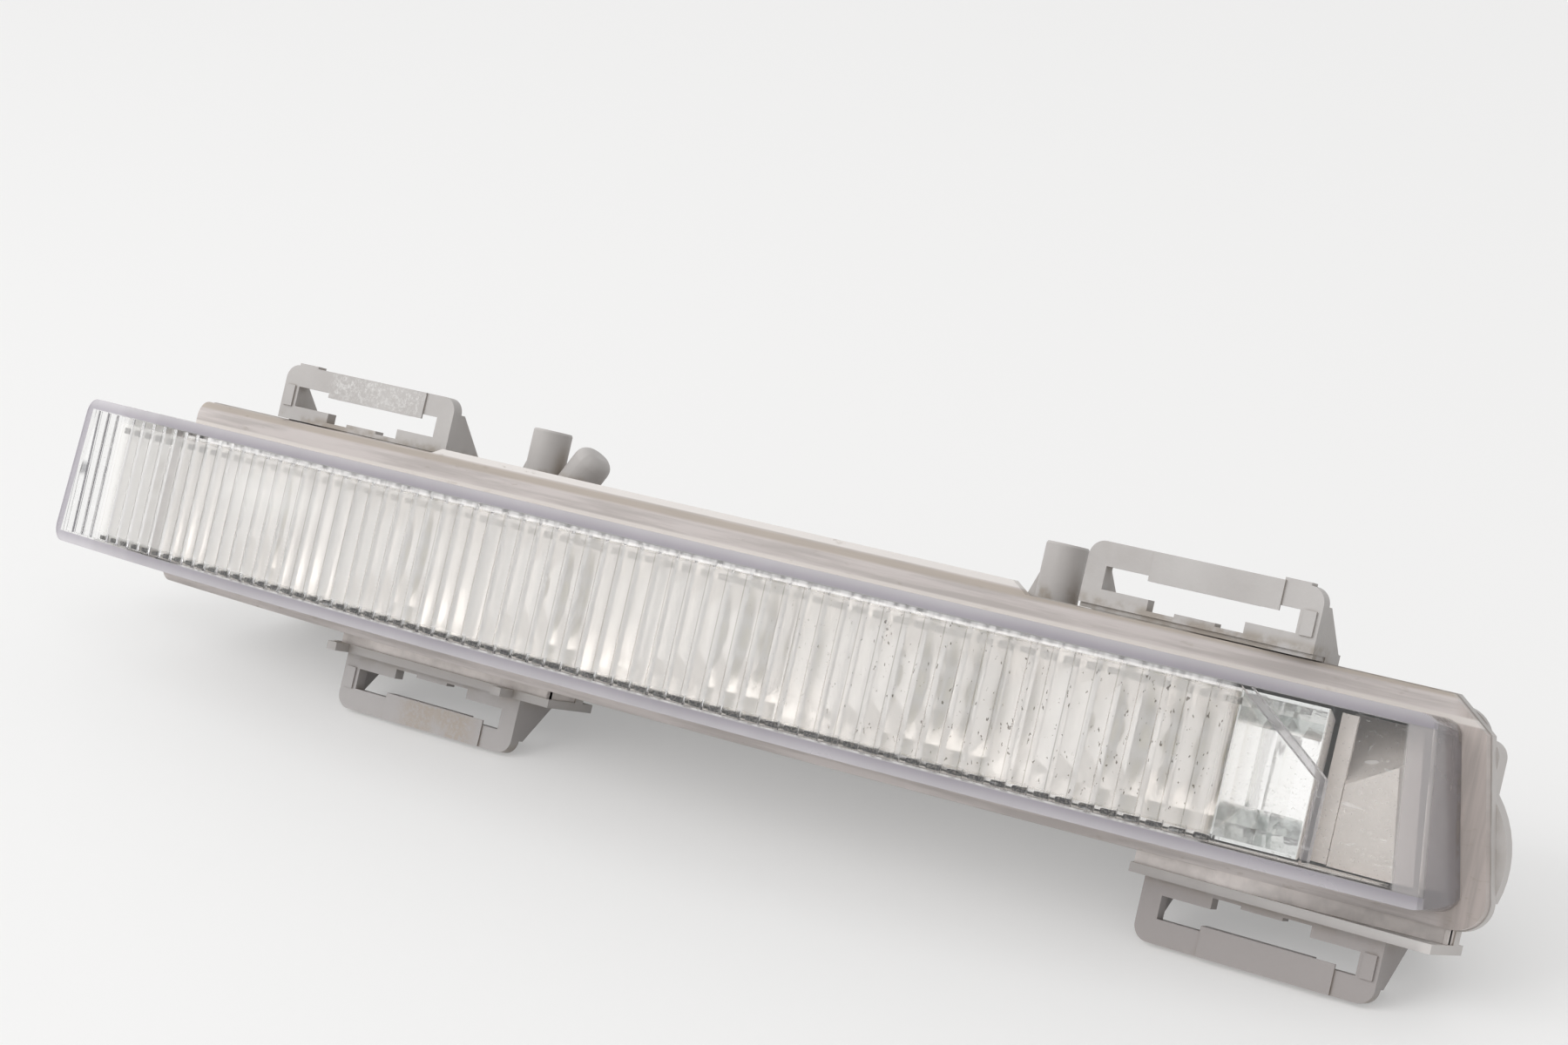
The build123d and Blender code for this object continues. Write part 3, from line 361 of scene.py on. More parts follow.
def makeLens():
    material, tree, output = newMaterial("clearLens")
    point, across, depth, up = lampSpace(tree)
    behind = behindFront(tree, across, depth)
    broad = noise(tree, point, 45.0, 4.0)
    middle = noise(tree, point, 260.0, 4.0)
    fine = noise(tree, point, 1500.0, 3.0)
    inBox = ramp01(tree, behind, lensLook["boxDepth"] + 0.0002, lensLook["boxDepth"] - 0.0002)
    front = ramp01(tree, behind, 0.0012, 0.0006)
    face = ramp01(tree, behind, 0.0022, 0.0014)
    # the rim of the box
    top = ramp01(tree, up, lensLook["bandTop"] - 0.0002, lensLook["bandTop"] + 0.0001)
    foot = ramp01(tree, up, lensLook["bandFoot"] + 0.0002, lensLook["bandFoot"] - 0.0001)
    fromLeft = pastLine(tree, across, up, lensLook["leftAtZero"], lensLook["leftSlope"])
    left = ramp01(tree, fromLeft, lensLook["leftWidth"] + 0.0002, lensLook["leftWidth"] - 0.0002)
    fromRight = pastLine(tree, across, up, lensLook["rightAtZero"], lensLook["rightSlope"])
    rim = times(tree, largest(tree, top, foot, left), face)
    rimWeight = times(tree, rim, spread(tree, broad, *lensLook["rimShare"]))
    outward = largest(
        tree,
        ramp01(tree, up, lensLook["bandTop"], lensLook["topEdge"]),
        ramp01(tree, up, lensLook["bandFoot"], lensLook["footEdge"]),
    )
    rimColour = mixColour(tree, outward, lensLook["violet"], lensLook["lilac"])
    atEnd = ramp01(tree, fromRight, -0.0009, -0.0003)
    endFace = times(tree, atEnd, ramp01(tree, behind, 0.001, 0.002), inBox)
    endWeight = times(tree, endFace, spread(tree, broad, *lensLook["endShare"]))
    # the slanting wall between the wing and the lamp's inside
    wallSide = band(tree, across, *lensLook["wallAcross"], 0.0008)
    wall = times(tree, wallSide, ramp01(tree, behind, *lensLook["wallBehind"]))
    wallWeight = times(tree, wall, spread(tree, broad, *lensLook["wallShare"]))
    # painted highlights as white lines over the tops and the feet of the flutes, and a grey veil on the
    # right end of the front
    fluted = band(tree, across, *lensLook["topHighlightAcross"], 0.002)
    lines = largest(
        tree,
        band(tree, up, *lensLook["topHighlightUp"], 0.0002),
        band(tree, up, *lensLook["footHighlightUp"], 0.0001),
    )
    highlightOverFlutes = times(tree, lines, fluted, face)
    breaks = noise(tree, point, 450.0, 2.0, 0.5, (1.0, 0.0, 0.0))
    broken = spread(tree, ramp01(tree, breaks, 0.35, 0.6), *lensLook["highlightOverShare"])
    highlightOverWeight = times(tree, highlightOverFlutes, broken)
    clearRim = math2(tree, "SUBTRACT", 1.0, rim)
    veil = times(tree, ramp01(tree, fromRight, -0.0048, -0.0040), face, clearRim)
    veilWeight = times(tree, veil, lensLook["veilShare"])
    film = times(
        tree,
        band(tree, across, flutes["mainStart"], flutes["mainEnd"], 0.0015),
        band(tree, up, *lensLook["filmUp"], 0.0004),
        front,
    )
    # painted highlight: a hazy patch on the left of the fluted front, where a light shows in the reflector,
    # thickens the film there
    glare = times(
        tree,
        band(tree, across, *lensLook["glareAcross"], 0.012),
        band(tree, up, *lensLook["glareUp"], 0.004),
    )
    filmBase = spread(tree, broad, *lensLook["filmShare"])
    filmWeight = times(tree, film, math2(tree, "ADD", filmBase, times(tree, glare, lensLook["glareShare"])))
    rib = times(
        tree,
        band(tree, behind, *lensLook["ribBehind"], 0.0001),
        band(tree, across, *lensLook["ribAcross"], 0.0002),
        band(tree, up, *lensLook["ribUp"], 0.0002),
    )
    ribWeight = times(tree, rib, lensLook["ribShare"])
    soot = noise(tree, point, 1700.0, 2.0, 0.5, (1.0, 1.0, 0.5))
    sooty = times(tree, ramp01(tree, soot, 0.66, 0.73), ramp01(tree, across, *lensLook["sootAcross"]))
    sootWeight = times(tree, film, sooty, lensLook["sootShare"])
    # the flange: a painted highlight along its lip, a brown line under it, streaks along it, a pale line
    # beside the rim
    flange = math2(tree, "SUBTRACT", 1.0, inBox)
    flangeWeight = times(tree, flange, lensLook["flangeShare"])
    grit = noise(tree, point, 900.0, 4.0, 0.6, (0.3, 0.0, 1.0))
    gritty = times(tree, ramp01(tree, grit, 0.58, 0.7), ramp01(tree, broad, 0.45, 0.6))
    specks = times(tree, flange, gritty, lensLook["speckShare"])
    seamBand = band(tree, behind, *lensLook["seamBehind"], 0.0003)
    seam = times(tree, seamBand, ramp01(tree, middle, 0.4, 0.6), lensLook["seamShare"])
    # dust on the front and the lines between the flutes
    dust = times(tree, front, ramp01(tree, fine, 0.6, 0.72), spread(tree, broad, *lensLook["dustShare"]))
    scratch = noise(tree, point, 700.0, 2.0, 0.5, (0.12, 1.0, 1.0))
    scratches = times(tree, front, ramp01(tree, scratch, 0.66, 0.7), lensLook["scratchShare"])
    inner = band(tree, behind, flutes["valley"] - 0.0006, flutes["crest"] + 0.0005, 0.0003)
    wing = fluteLine(tree, across, flutes["wingStart"], flutes["wingEnd"], flutes["wingCount"])
    main = fluteLine(tree, across, flutes["mainStart"], flutes["mainEnd"], flutes["mainCount"])
    wingWeight = times(tree, wing, inner, lensLook["wingLineShare"])
    mainWeight = times(tree, main, inner, lensLook["mainLineShare"])
    colour = mixColour(tree, boosted(tree, dust, 4.0), lensLook["clear"], lensLook["dust"])
    colour = mixColour(tree, film, colour, lensLook["film"])
    colour = mixColour(tree, boosted(tree, sootWeight, 3.0), colour, lensLook["soot"])
    colour = mixColour(tree, veil, colour, lensLook["rightGrey"])
    colour = mixColour(tree, rib, colour, lensLook["rib"])
    colour = mixColour(tree, wing, colour, lensLook["wingLine"])
    colour = mixColour(tree, times(tree, main, lensLook["mainLineTint"]), colour, lensLook["mainLine"])
    colour = mixColour(tree, rim, colour, rimColour)
    colour = mixColour(tree, endFace, colour, lensLook["endGrey"])
    colour = mixColour(tree, wall, colour, lensLook["frosted"])
    colour = mixColour(tree, highlightOverFlutes, colour, lensLook["topHighlight"])
    streaks = noise(tree, point, 520.0, 4.0, 0.6, (0.05, 0.0, 1.0))
    upright = noise(tree, point, 520.0, 4.0, 0.6, (1.0, 0.0, 0.05))
    flangeColour = mixColour(tree, ramp01(tree, streaks, 0.38, 0.6), lensLook["cool"], lensLook["warm"])
    rightStreaks = ramp01(tree, upright, 0.38, 0.6)
    rightColour = mixColour(tree, rightStreaks, lensLook["rightCool"], lensLook["rightWarm"])
    flangeColour = mixColour(tree, ramp01(tree, fromRight, -0.002, 0.001), flangeColour, rightColour)
    brownBand = band(tree, up, *lensLook["brownUp"], 0.0003)
    brown = times(tree, brownBand, spread(tree, streaks, *lensLook["brownShare"]))
    flangeColour = mixColour(tree, brown, flangeColour, lensLook["brownLine"])
    beside = times(tree, band(tree, up, *lensLook["paleUp"], 0.0002), lensLook["paleShare"])
    flangeColour = mixColour(tree, beside, flangeColour, lensLook["paleLine"])
    # painted highlight along the top lip of the flange
    lip = ramp01(tree, up, *lensLook["lipUp"])
    flangeColour = mixColour(tree, lip, flangeColour, lensLook["lipHighlight"])
    colour = mixColour(tree, flange, colour, flangeColour)
    colour = mixColour(tree, largest(tree, specks, seam), colour, lensLook["dirt"])
    wallFrost = largest(tree, rimWeight, endWeight, wallWeight, ribWeight, flangeWeight)
    lineFrost = largest(tree, highlightOverWeight, veilWeight, wingWeight, mainWeight)
    frost = largest(tree, wallFrost, lineFrost, specks, seam, dust, scratches)
    dulled = largest(tree, frost, filmWeight, sootWeight)
    transmission = math2(tree, "SUBTRACT", 1.0, dulled, True)
    # the fluted inside is a little hazy, the wing and the window are clear
    hazy = times(tree, inner, band(tree, across, flutes["mainStart"], flutes["mainEnd"], 0.0005))
    fluteHaze = times(tree, hazy, lensLook["fluteHaze"])
    rough = math2(tree, "ADD", fluteHaze, times(tree, frost, lensLook["frostHaze"]), True)
    shader = addNode(
        tree,
        "ShaderNodeBsdfPrincipled",
        {"Base Color": colour, "Roughness": rough, "Transmission Weight": transmission},
    )
    shader.inputs["IOR"].default_value = lensLook["ior"]
    tree.links.new(shader.outputs[0], output.inputs[0])
    return material


# metallised cells, hazy in the row and bright at the end
reflectorLook = {
    "silver": (1.0, 0.985, 0.97),
    "dull": (0.96, 0.94, 0.92),
    "bare": (0.90, 0.86, 0.82),
    "bareFrom": 0.1365,
    "bareSlope": 0.205,
    "rowEnd": 0.122,
    "rowHaze": 0.22,
    "endHaze": 0.05,
    "bareHaze": 0.4,
    "patchHaze": 0.06,
    "ripple": (0.12, 0.0004),
    "endMiddle": 0.0010,
    "endSlopes": (0.0072, 0.0078),
    "endSilver": (0.985, 0.985, 0.98),
    "endGrey": (0.74, 0.755, 0.75),
}


def makeReflector():
    material, tree, output = newMaterial("metallised")
    point, across, depth, up = lampSpace(tree)
    haze = noise(tree, point, 70.0, 5.0)
    patches = ramp01(tree, haze, 0.35, 0.65)
    colour = mixColour(tree, patches, reflectorLook["dull"], reflectorLook["silver"])
    # the end cells are clean, with painted shade of grey on their sloping walls above and below
    bright = ramp01(tree, across, reflectorLook["rowEnd"] - 0.0005, reflectorLook["rowEnd"] + 0.0005)
    offMiddle = math2(tree, "ABSOLUTE", math2(tree, "SUBTRACT", up, reflectorLook["endMiddle"]))
    shadedSlopes = ramp01(tree, offMiddle, *reflectorLook["endSlopes"])
    endShadedColour = mixColour(tree, shadedSlopes, reflectorLook["endSilver"], reflectorLook["endGrey"])
    colour = mixColour(tree, bright, colour, endShadedColour)
    slant = math2(tree, "ADD", across, times(tree, depth, reflectorLook["bareSlope"]))
    bare = ramp01(tree, slant, reflectorLook["bareFrom"] - 0.0001, reflectorLook["bareFrom"] + 0.0001)
    colour = mixColour(tree, bare, colour, reflectorLook["bare"])
    rough = math2(
        tree,
        "ADD",
        spread(tree, bright, reflectorLook["rowHaze"], reflectorLook["endHaze"]),
        times(tree, haze, reflectorLook["patchHaze"]),
    )
    rough = math2(tree, "ADD", rough, times(tree, bare, reflectorLook["bareHaze"]))
    metal = math2(tree, "SUBTRACT", 1.0, bare)
    sockets = {"Base Color": colour, "Roughness": rough, "Metallic": metal}
    shader = addNode(tree, "ShaderNodeBsdfPrincipled", sockets)
    ripple = noise(tree, point, 320.0, 2.0, 0.5, (1.0, 1.0, 0.25))
    tree.links.new(bump(tree, ripple, *reflectorLook["ripple"]), shader.inputs["Normal"])
    tree.links.new(shader.outputs[0], output.inputs[0])
    return material


def makePlain(name, colour, roughness, metallic=0.0, grain=300.0, contrast=0.15):
    material, tree, output = newMaterial(name)
    point = objectPoint(tree)
    grainFac = noise(tree, point, grain, 3.0)
    dark = tuple(c * (1 - contrast) for c in colour)
    tone = mixColour(tree, ramp01(tree, grainFac, 0.3, 0.7), dark, colour)
    rough = spread(tree, grainFac, roughness - 0.05, roughness + 0.08)
    shader = addNode(tree, "ShaderNodeBsdfPrincipled", {"Base Color": tone, "Roughness": rough})
    shader.inputs["Metallic"].default_value = metallic
    tree.links.new(bump(tree, grainFac, 0.08, 0.0001), shader.inputs["Normal"])
    tree.links.new(shader.outputs[0], output.inputs[0])
    return material


finishes = {
    "rear_housing": makeHousing(),
    "lens": makeLens(),
    "reflector": makeReflector(),
    "lens_seal": makePlain("greySeal", (0.52, 0.49, 0.46), 0.6),
    "end_bezel": makePlain("satinBezel", (0.92, 0.865, 0.82), 0.42, metallic=0.2, contrast=0.06),
    "led_board": makePlain("whiteMask", (0.82, 0.81, 0.79), 0.35),
    "heat_sink": makePlain("millAluminium", (0.7, 0.71, 0.72), 0.4, metallic=1.0),
    "driver_board": makePlain("greenMask", (0.03, 0.17, 0.07), 0.3),
    "driver_inductor": makePlain("ferrite", (0.06, 0.06, 0.06), 0.5),
    "driver_chip": makePlain("chipBlack", (0.04, 0.04, 0.04), 0.45),
    "connector_shroud": makePlain("connectorBlack", (0.07, 0.07, 0.075), 0.5),
    "connector_pins": makePlain("tinnedBrass", (0.75, 0.66, 0.45), 0.3, metallic=1.0),
    "breather_cap": makePlain("breatherRubber", (0.045, 0.045, 0.045), 0.7),
}
screwSteel = makePlain("zincScrew", (0.62, 0.62, 0.64), 0.35, metallic=1.0)
capacitorCan = makePlain("capacitorCan", (0.7, 0.7, 0.72), 0.3, metallic=1.0)
ledPhosphor = makePlain("ledPhosphor", (0.86, 0.82, 0.68), 0.3)
for name in ("sink_screws", "driver_screws"):
    finishes[name] = screwSteel
for name in ("driver_capacitor_1", "driver_capacitor_2"):
    finishes[name] = capacitorCan
for index in range(1, 7):
    finishes[f"led_{index}"] = ledPhosphor
for name, material in finishes.items():
    dress(name, material)
# painted light: a pale colour on the plates in the recess over the lower ledges, lifting the shade there
finishes["ledge_recess"] = makePlain("ledgeRecess", (0.80, 0.745, 0.715), 0.6, grain=260.0, contrast=0.2)
print("finishes assigned:", len(finishes))


# painted shade: speckled dark and shaded beige blocks, one to each flute, along the foot and the top of the
# lens, stand for the shaded gaps seen through the ends of the flutes
bothRows = {"Count": flutes["mainCount"], "Start": flutes["mainStart"], "Step": 0.0041015, "Behind": 0.0046,
            "Deep": 0.0012, "Round": 0.0003}
footRow = {**bothRows, "Up": -0.01205, "Width": 0.0027, "Height": 0.0009, "Seed": 3}
topRow = {**bothRows, "Up": 0.0118, "Width": 0.0028, "Height": 0.0013, "Seed": 8}
fluteEndLook = {"dark": (0.085, 0.085, 0.09), "grey": (0.30, 0.285, 0.26), "shade": (0.52, 0.49, 0.45),
                "beige": (0.74, 0.70, 0.64), "roughness": 0.4, "footDarkUntil": 0.3, "topDarkUntil": -0.112,
                "leastSize": (0.8, 0.9, 0.85), "mostSize": (1.05, 1.05, 1.1)}


def makeFluteEndMaterial(name, darkUntil):
    material, tree, output = newMaterial(name)
    point, across, depth, up = lampSpace(tree)
    specks = noise(tree, point, 2600.0, 2.0)
    # painted shade: dark specks and shaded beige stand for the shade at the ends of the flutes
    dark = mixColour(tree, ramp01(tree, specks, 0.45, 0.62), fluteEndLook["dark"], fluteEndLook["grey"])
    pale = mixColour(tree, ramp01(tree, specks, 0.4, 0.6), fluteEndLook["shade"], fluteEndLook["beige"])
    colour = mixColour(tree, ramp01(tree, across, darkUntil - 0.01, darkUntil + 0.01), dark, pale)
    shader = addNode(tree, "ShaderNodeBsdfPrincipled", {"Base Color": colour})
    shader.inputs["Roughness"].default_value = fluteEndLook["roughness"]
    tree.links.new(bump(tree, specks, 0.3, 0.0002), shader.inputs["Normal"])
    tree.links.new(shader.outputs[0], output.inputs[0])
    return material


def makeFluteEndTree():
    tree = bpy.data.node_groups.new("fluteEnds", "GeometryNodeTree")
    for name in ("Count", "Seed"):
        tree.interface.new_socket(name, in_out="INPUT", socket_type="NodeSocketInt")
    for name in ("Start", "Step", "Behind", "Up", "Width", "Height", "Deep", "Round"):
        tree.interface.new_socket(name, in_out="INPUT", socket_type="NodeSocketFloat")
    tree.interface.new_socket("Material", in_out="INPUT", socket_type="NodeSocketMaterial")
    tree.interface.new_socket("Geometry", in_out="OUTPUT", socket_type="NodeSocketGeometry")
    given = addNode(tree, "NodeGroupInput").outputs
    # places along the bow
    line = addNode(tree, "GeometryNodeMeshLine", {"Count": given["Count"], "Offset": (0, 0, 0)})
    index = addNode(tree, "GeometryNodeInputIndex").outputs[0]
    along = math2(tree, "MULTIPLY", math2(tree, "ADD", index, 0.5), given["Step"])
    across = math2(tree, "ADD", along, given["Start"])
    radius = math2(tree, "SUBTRACT", bow["radius"], given["Behind"])
    side = math2(tree, "SUBTRACT", across, bow["centreAcross"])
    sideSquare = math2(tree, "MULTIPLY", side, side)
    square = math2(tree, "SUBTRACT", math2(tree, "MULTIPLY", radius, radius), sideSquare)
    depth = math2(tree, "SUBTRACT", bow["centreDepth"], math2(tree, "SQRT", square))
    place = addNode(tree, "ShaderNodeCombineXYZ", {0: across, 1: depth, 2: given["Up"]}).outputs[0]
    points = addNode(tree, "GeometryNodeSetPosition", {"Geometry": line.outputs[0], "Position": place})
    turn = math2(tree, "ARCSINE", math2(tree, "DIVIDE", side, radius))
    spin = addNode(tree, "ShaderNodeCombineXYZ", {2: turn}).outputs[0]
    # one block with rounded corners
    size = {"Width": given["Width"], "Height": given["Height"]}
    outline = addNode(tree, "GeometryNodeCurvePrimitiveQuadrilateral", size)
    corners = {"Curve": outline.outputs[0], "Radius": given["Round"], "Count": 3}
    rounded = addNode(tree, "GeometryNodeFilletCurve", corners, mode="POLY")
    face = addNode(tree, "GeometryNodeFillCurve", {"Curve": rounded.outputs[0]}, mode="NGONS")
    raising = {"Mesh": face.outputs[0], "Offset Scale": given["Deep"]}
    raised = addNode(tree, "GeometryNodeExtrudeMesh", raising)
    back = addNode(tree, "GeometryNodeFlipFaces", {0: face.outputs[0]})
    joined = addNode(tree, "GeometryNodeJoinGeometry")
    tree.links.new(raised.outputs[0], joined.inputs[0])
    tree.links.new(back.outputs[0], joined.inputs[0])
    block = addNode(tree, "GeometryNodeMergeByDistance", {0: joined.outputs[0], "Distance": 0.00001})
    standing = {0: block.outputs[0], "Rotation": (math.pi / 2, 0, 0)}
    upright = addNode(tree, "GeometryNodeTransform", standing)
    varied = addNode(tree, "FunctionNodeRandomValue", {"Seed": given["Seed"]}, data_type="FLOAT_VECTOR")
    varied.inputs[0].default_value = fluteEndLook["leastSize"]
    varied.inputs[1].default_value = fluteEndLook["mostSize"]
    row = addNode(
        tree,
        "GeometryNodeInstanceOnPoints",
        {
            "Points": points.outputs[0],
            "Instance": upright.outputs[0],
            "Rotation": spin,
            "Scale": varied.outputs[0],
        },
    )
    leaning = addNode(
        tree,
        "GeometryNodeTransform",
        {
            0: row.outputs[0],
            "Translation": (0, stance["originY"], stance["originZ"]),
            "Rotation": (-stance["lean"], 0, 0),
        },
    )
    real = addNode(tree, "GeometryNodeRealizeInstances", {0: leaning.outputs[0]})
    painting = {0: real.outputs[0], "Material": given["Material"]}
    finished = addNode(tree, "GeometryNodeSetMaterial", painting)
    output = addNode(tree, "NodeGroupOutput")
    tree.links.new(finished.outputs[0], output.inputs[0])
    return tree


def makeFluteEnds(name, tree, row, material):
    piece = bpy.data.objects.new(name, bpy.data.meshes.new(name))
    bpy.context.scene.collection.objects.link(piece)
    modifier = piece.modifiers.new("fluteEnds", "NODES")
    modifier.node_group = tree
    values = {**row, "Material": material}
    for item in tree.interface.items_tree:
        if item.in_out == "INPUT":
            modifier[item.identifier] = values[item.name]
    shown = piece.evaluated_get(bpy.context.evaluated_depsgraph_get())
    mesh = bpy.data.meshes.new_from_object(shown)
    piece.modifiers.clear()
    piece.data = mesh
    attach(piece, "root")
    print(name, "faces:", len(mesh.polygons))


fluteEndTree = makeFluteEndTree()
footShadeSpecks = makeFluteEndMaterial("fluteFootShadeSpecks", fluteEndLook["footDarkUntil"])
topShadeSpecks = makeFluteEndMaterial("fluteTopShadeSpecks", fluteEndLook["topDarkUntil"])
makeFluteEnds("fluteFeet", fluteEndTree, footRow, footShadeSpecks)
makeFluteEnds("fluteTops", fluteEndTree, topRow, topShadeSpecks)

# plates that close gaps beside and under the bezel, under the upper right clip and over the lower ledges
fillers = {
    "bezelReturn": {"slot": "bezel", "finish": "end_bezel",
                    "boxes": [((0.1377, 0.0011, -0.0120), (0.1408, 0.0017, 0.0138))]},
    "clipFeet": {"slot": "housing", "finish": "rear_housing",
                 "boxes": [((0.0857, -0.0024, 0.02145), (0.1313, 0.0026, 0.0223))]},
    "ledgeWebs": {"slot": "housing", "finish": "ledge_recess",
                  "boxes": [((-0.0264, 0.0004, -0.0203), (-0.0256, 0.0092, -0.01775)),
                            ((0.1614, 0.0079, -0.0203), (0.1622, 0.0102, -0.01775))],
                  "strips": [(-0.0805, -0.0256), (0.1060, 0.1622)],
                  "foot": -0.0203, "top": -0.01775, "behind": 0.0128, "foremost": 0.0004,
                  "thick": 0.0008},
    "footSill": {"slot": "bezel", "finish": "end_bezel",
                 "boxes": [((0.1377, -0.0018, -0.0127), (0.1525, 0.0010, -0.0125))],
                 "strips": [(-0.1290, 0.1525)],
                 "foot": -0.0127, "top": -0.0125, "behind": 0.0041, "foremost": -1.0,
                 "thick": 0.0027},
}
stripSteps = 48


def bowDepth(across, behind):
    side = across - bow["centreAcross"]
    return bow["centreDepth"] - math.sqrt((bow["radius"] - behind) ** 2 - side ** 2)


def addStrip(points, faces, left, right, details):
    # a strip that bends with the lens
    first = len(points)
    low = details["foot"]
    high = details["top"]
    for step in range(stripSteps + 1):
        across = left + (right - left) * step / stripSteps
        front = max(details["foremost"], bowDepth(across, details["behind"]))
        back = front + details["thick"]
        for depth, up in ((front, low), (back, low), (back, high), (front, high)):
            points.append(lampPoint(across, depth, up))
    for step in range(stripSteps):
        here = first + 4 * step
        for corner in range(4):
            after = (corner + 1) % 4
            faces.append((here + corner, here + after, here + 4 + after, here + 4 + corner))
    faces.append((first + 3, first + 2, first + 1, first))
    last = first + 4 * stripSteps
    faces.append((last, last + 1, last + 2, last + 3))


def makeFiller(name, details):
    points = []
    faces = []
    for low, high in details["boxes"]:
        first = len(points)
        for up in (low[2], high[2]):
            plan = ((low[0], low[1]), (high[0], low[1]), (high[0], high[1]), (low[0], high[1]))
            points.extend(lampPoint(across, depth, up) for across, depth in plan)
        sides = [(0, 3, 2, 1), (4, 5, 6, 7), (0, 1, 5, 4), (1, 2, 6, 5), (2, 3, 7, 6), (3, 0, 4, 7)]
        faces.extend(tuple(first + corner for corner in side) for side in sides)
    for left, right in details.get("strips", []):
        addStrip(points, faces, left, right, details)
    mesh = bpy.data.meshes.new(name)
    mesh.from_pydata(points, [], faces)
    mesh.materials.append(finishes[details["finish"]])
    piece = bpy.data.objects.new(name, mesh)
    bpy.context.scene.collection.objects.link(piece)
    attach(piece, "root")
    print(name, "faces:", len(mesh.polygons))


for name, details in fillers.items():
    makeFiller(name, details)

# floor, light and camera
studio = {
    "floorSize": 8.0,
    "floorColour": (0.88, 0.877, 0.872),
    "floorGlow": (0.885, 0.882, 0.876),
    "floorRoughness": 0.5,
    "floorShare": 0.36,
    "mirroredShare": 0.85,
    "lightMiddle": 0.72,
    "lightSwing": 0.36,
    "lightFrom": (-0.75, -0.35, 0.56),
    "cameraSide": (0.54, -0.77, 0.33),
    "cameraShade": 0.85,
    "cameraEdge": (0.93, 0.99),
    "overheadShade": 0.95,
    "overheadEdge": (0.6, 0.95),
    "lightPath": 20,
    "mirrorPath": 14,
}


def makeFloor():
    half = studio["floorSize"] / 2
    mesh = bpy.data.meshes.new("floor")
    corners = [(-half, -half, 0), (half, -half, 0), (half, half, 0), (-half, half, 0)]
    mesh.from_pydata(corners, [], [(0, 1, 2, 3)])
    floor = bpy.data.objects.new("floor", mesh)
    bpy.context.scene.collection.objects.link(floor)
    material, tree, output = newMaterial("paleFloor")
    shader = addNode(tree, "ShaderNodeBsdfPrincipled")
    shader.inputs["Base Color"].default_value = (*studio["floorColour"], 1.0)
    shader.inputs["Roughness"].default_value = studio["floorRoughness"]
    glow = addNode(tree, "ShaderNodeEmission", {"Color": (*studio["floorGlow"], 1.0), "Strength": 1.0})
    ray = addNode(tree, "ShaderNodeLightPath").outputs
    throughPiece = largest(tree, ray["Is Glossy Ray"], ray["Is Transmission Ray"])
    mirrored = times(tree, throughPiece, studio["mirroredShare"])
    share = largest(tree, times(tree, ray["Is Camera Ray"], studio["floorShare"]), mirrored)
    mix = addNode(tree, "ShaderNodeMixShader", {0: share})
    tree.links.new(shader.outputs[0], mix.inputs[1])
    tree.links.new(glow.outputs[0], mix.inputs[2])
    tree.links.new(mix.outputs[0], output.inputs[0])
    mesh.materials.append(material)


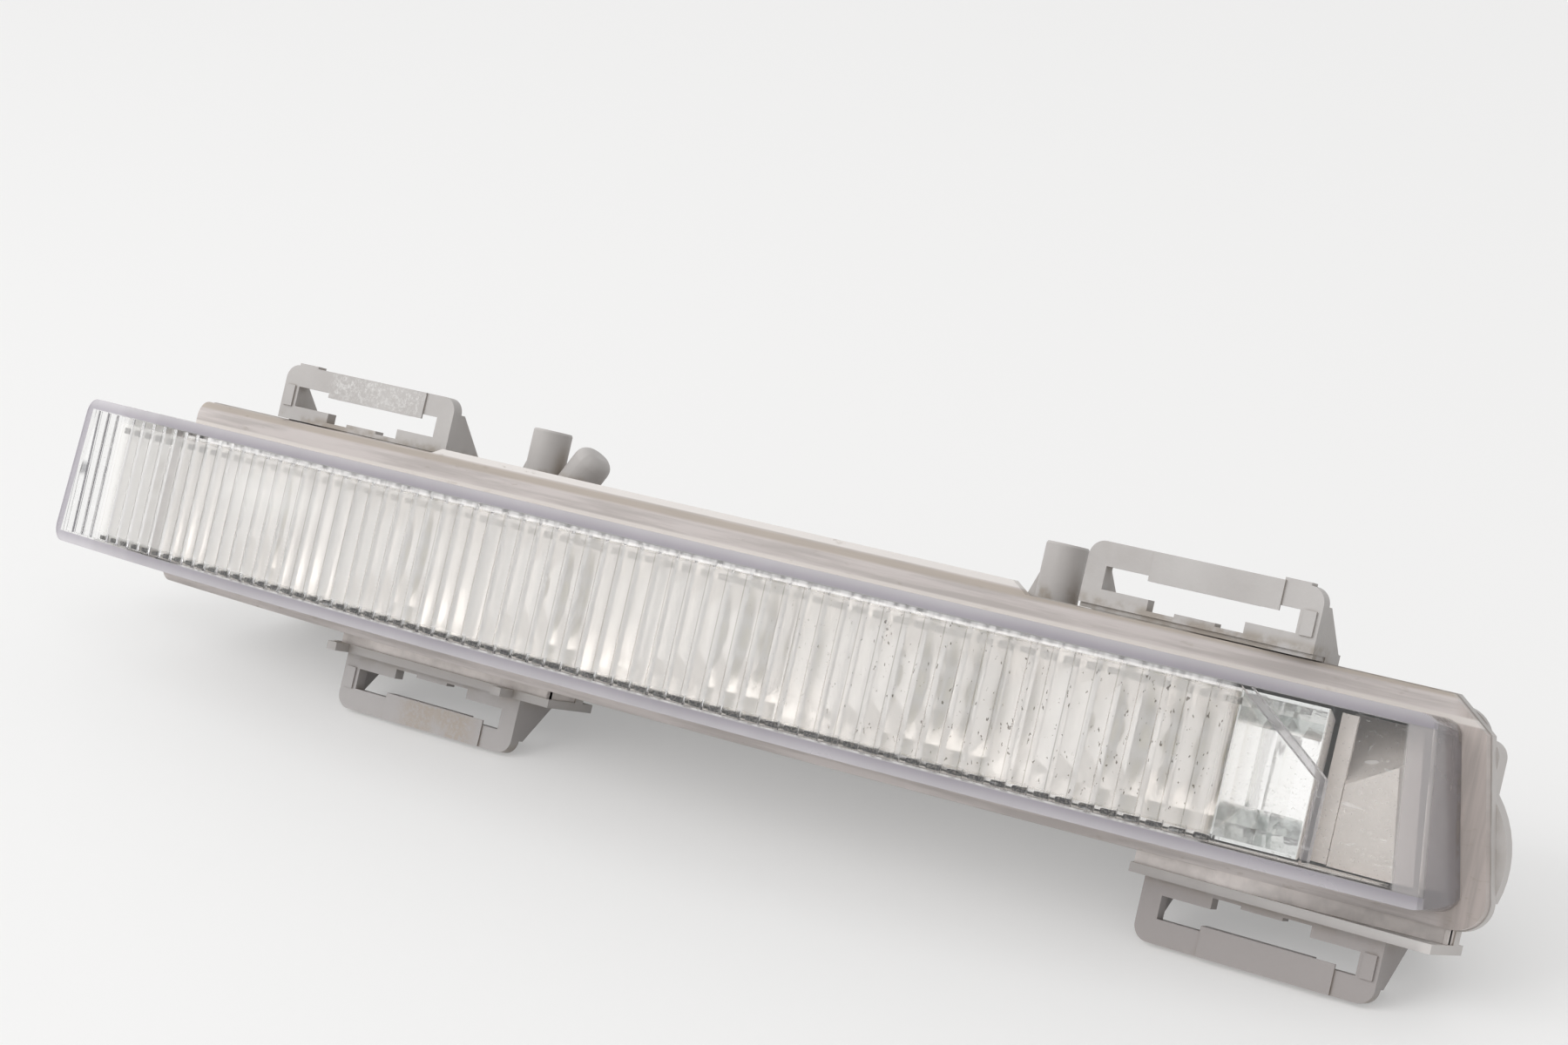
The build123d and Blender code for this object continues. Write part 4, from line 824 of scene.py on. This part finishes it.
def makeWorld():
    world = bpy.data.worlds.new("studio")
    bpy.context.scene.world = world
    world.use_nodes = True
    tree = world.node_tree
    tree.nodes.clear()
    direction = addNode(tree, "ShaderNodeTexCoord").outputs["Generated"]

    def towards(aim):
        sockets = {0: direction, 1: Vector(aim).normalized()}
        return addNode(tree, "ShaderNodeVectorMath", sockets, operation="DOT_PRODUCT").outputs["Value"]

    # soft light, stronger from the upper left
    swing = times(tree, towards(studio["lightFrom"]), studio["lightSwing"])
    light = math2(tree, "ADD", swing, studio["lightMiddle"])
    # what clear and silvered pieces show: a white room, darker behind the camera and overhead
    behindCamera = ramp01(tree, towards(studio["cameraSide"]), *studio["cameraEdge"])
    overhead = ramp01(tree, towards((0, 0, 1)), *studio["overheadEdge"])
    shade = times(
        tree,
        spread(tree, behindCamera, 1.0, studio["cameraShade"]),
        spread(tree, overhead, 1.0, studio["overheadShade"]),
    )
    ray = addNode(tree, "ShaderNodeLightPath").outputs
    shown = largest(tree, ray["Is Camera Ray"], ray["Is Glossy Ray"], ray["Is Transmission Ray"])
    strength = math2(
        tree,
        "ADD",
        times(tree, shown, shade),
        times(tree, math2(tree, "SUBTRACT", 1.0, shown), light),
    )
    background = addNode(tree, "ShaderNodeBackground", {"Color": (1, 1, 1, 1), "Strength": strength})
    output = addNode(tree, "ShaderNodeOutputWorld")
    tree.links.new(background.outputs[0], output.inputs[0])


view = {
    "place": (0.3483, -0.51427, 0.02235),
    "right": (0.8211, 0.5247, 0.2245),
    "down": (0.1875, 0.1235, -0.9745),
    "focal": 73.64,
    "sensor": 36.0,
    "nearest": 0.01,
}


def makeCamera():
    origin = lampPoint(0, 0, 0)
    place = lampPoint(*view["place"])
    right = (lampPoint(*view["right"]) - origin).normalized()
    upward = (origin - lampPoint(*view["down"])).normalized()
    backward = right.cross(upward).normalized()
    upward = backward.cross(right)
    data = bpy.data.cameras.new("photoView")
    data.lens = view["focal"]
    data.sensor_width = view["sensor"]
    data.clip_start = view["nearest"]
    camera = bpy.data.objects.new("photoView", data)
    turn = Matrix((right, upward, backward)).transposed()
    camera.matrix_world = Matrix.Translation(place) @ turn.to_4x4()
    bpy.context.scene.collection.objects.link(camera)
    bpy.context.scene.camera = camera


lamp = {"place": (-0.75, -1.0, 1.05), "aim": (0.0, 0.0, 0.03), "width": 1.1, "height": 0.7, "power": 8.0}


def makeLamp():
    data = bpy.data.lights.new("softbox", "AREA")
    data.shape = "RECTANGLE"
    data.size = lamp["width"]
    data.size_y = lamp["height"]
    data.energy = lamp["power"]
    softbox = bpy.data.objects.new("softbox", data)
    place = Vector(lamp["place"])
    softbox.location = place
    softbox.rotation_euler = (Vector(lamp["aim"]) - place).to_track_quat("-Z", "Y").to_euler()
    bpy.context.scene.collection.objects.link(softbox)


makeFloor()
makeWorld()
makeLamp()
makeCamera()
bpy.context.scene.view_settings.view_transform = "Standard"
# light is thrown about in the silvered cells many times before it leaves through the lens
bpy.context.scene.cycles.max_bounces = studio["lightPath"]
bpy.context.scene.cycles.glossy_bounces = studio["mirrorPath"]
print("studio ready")
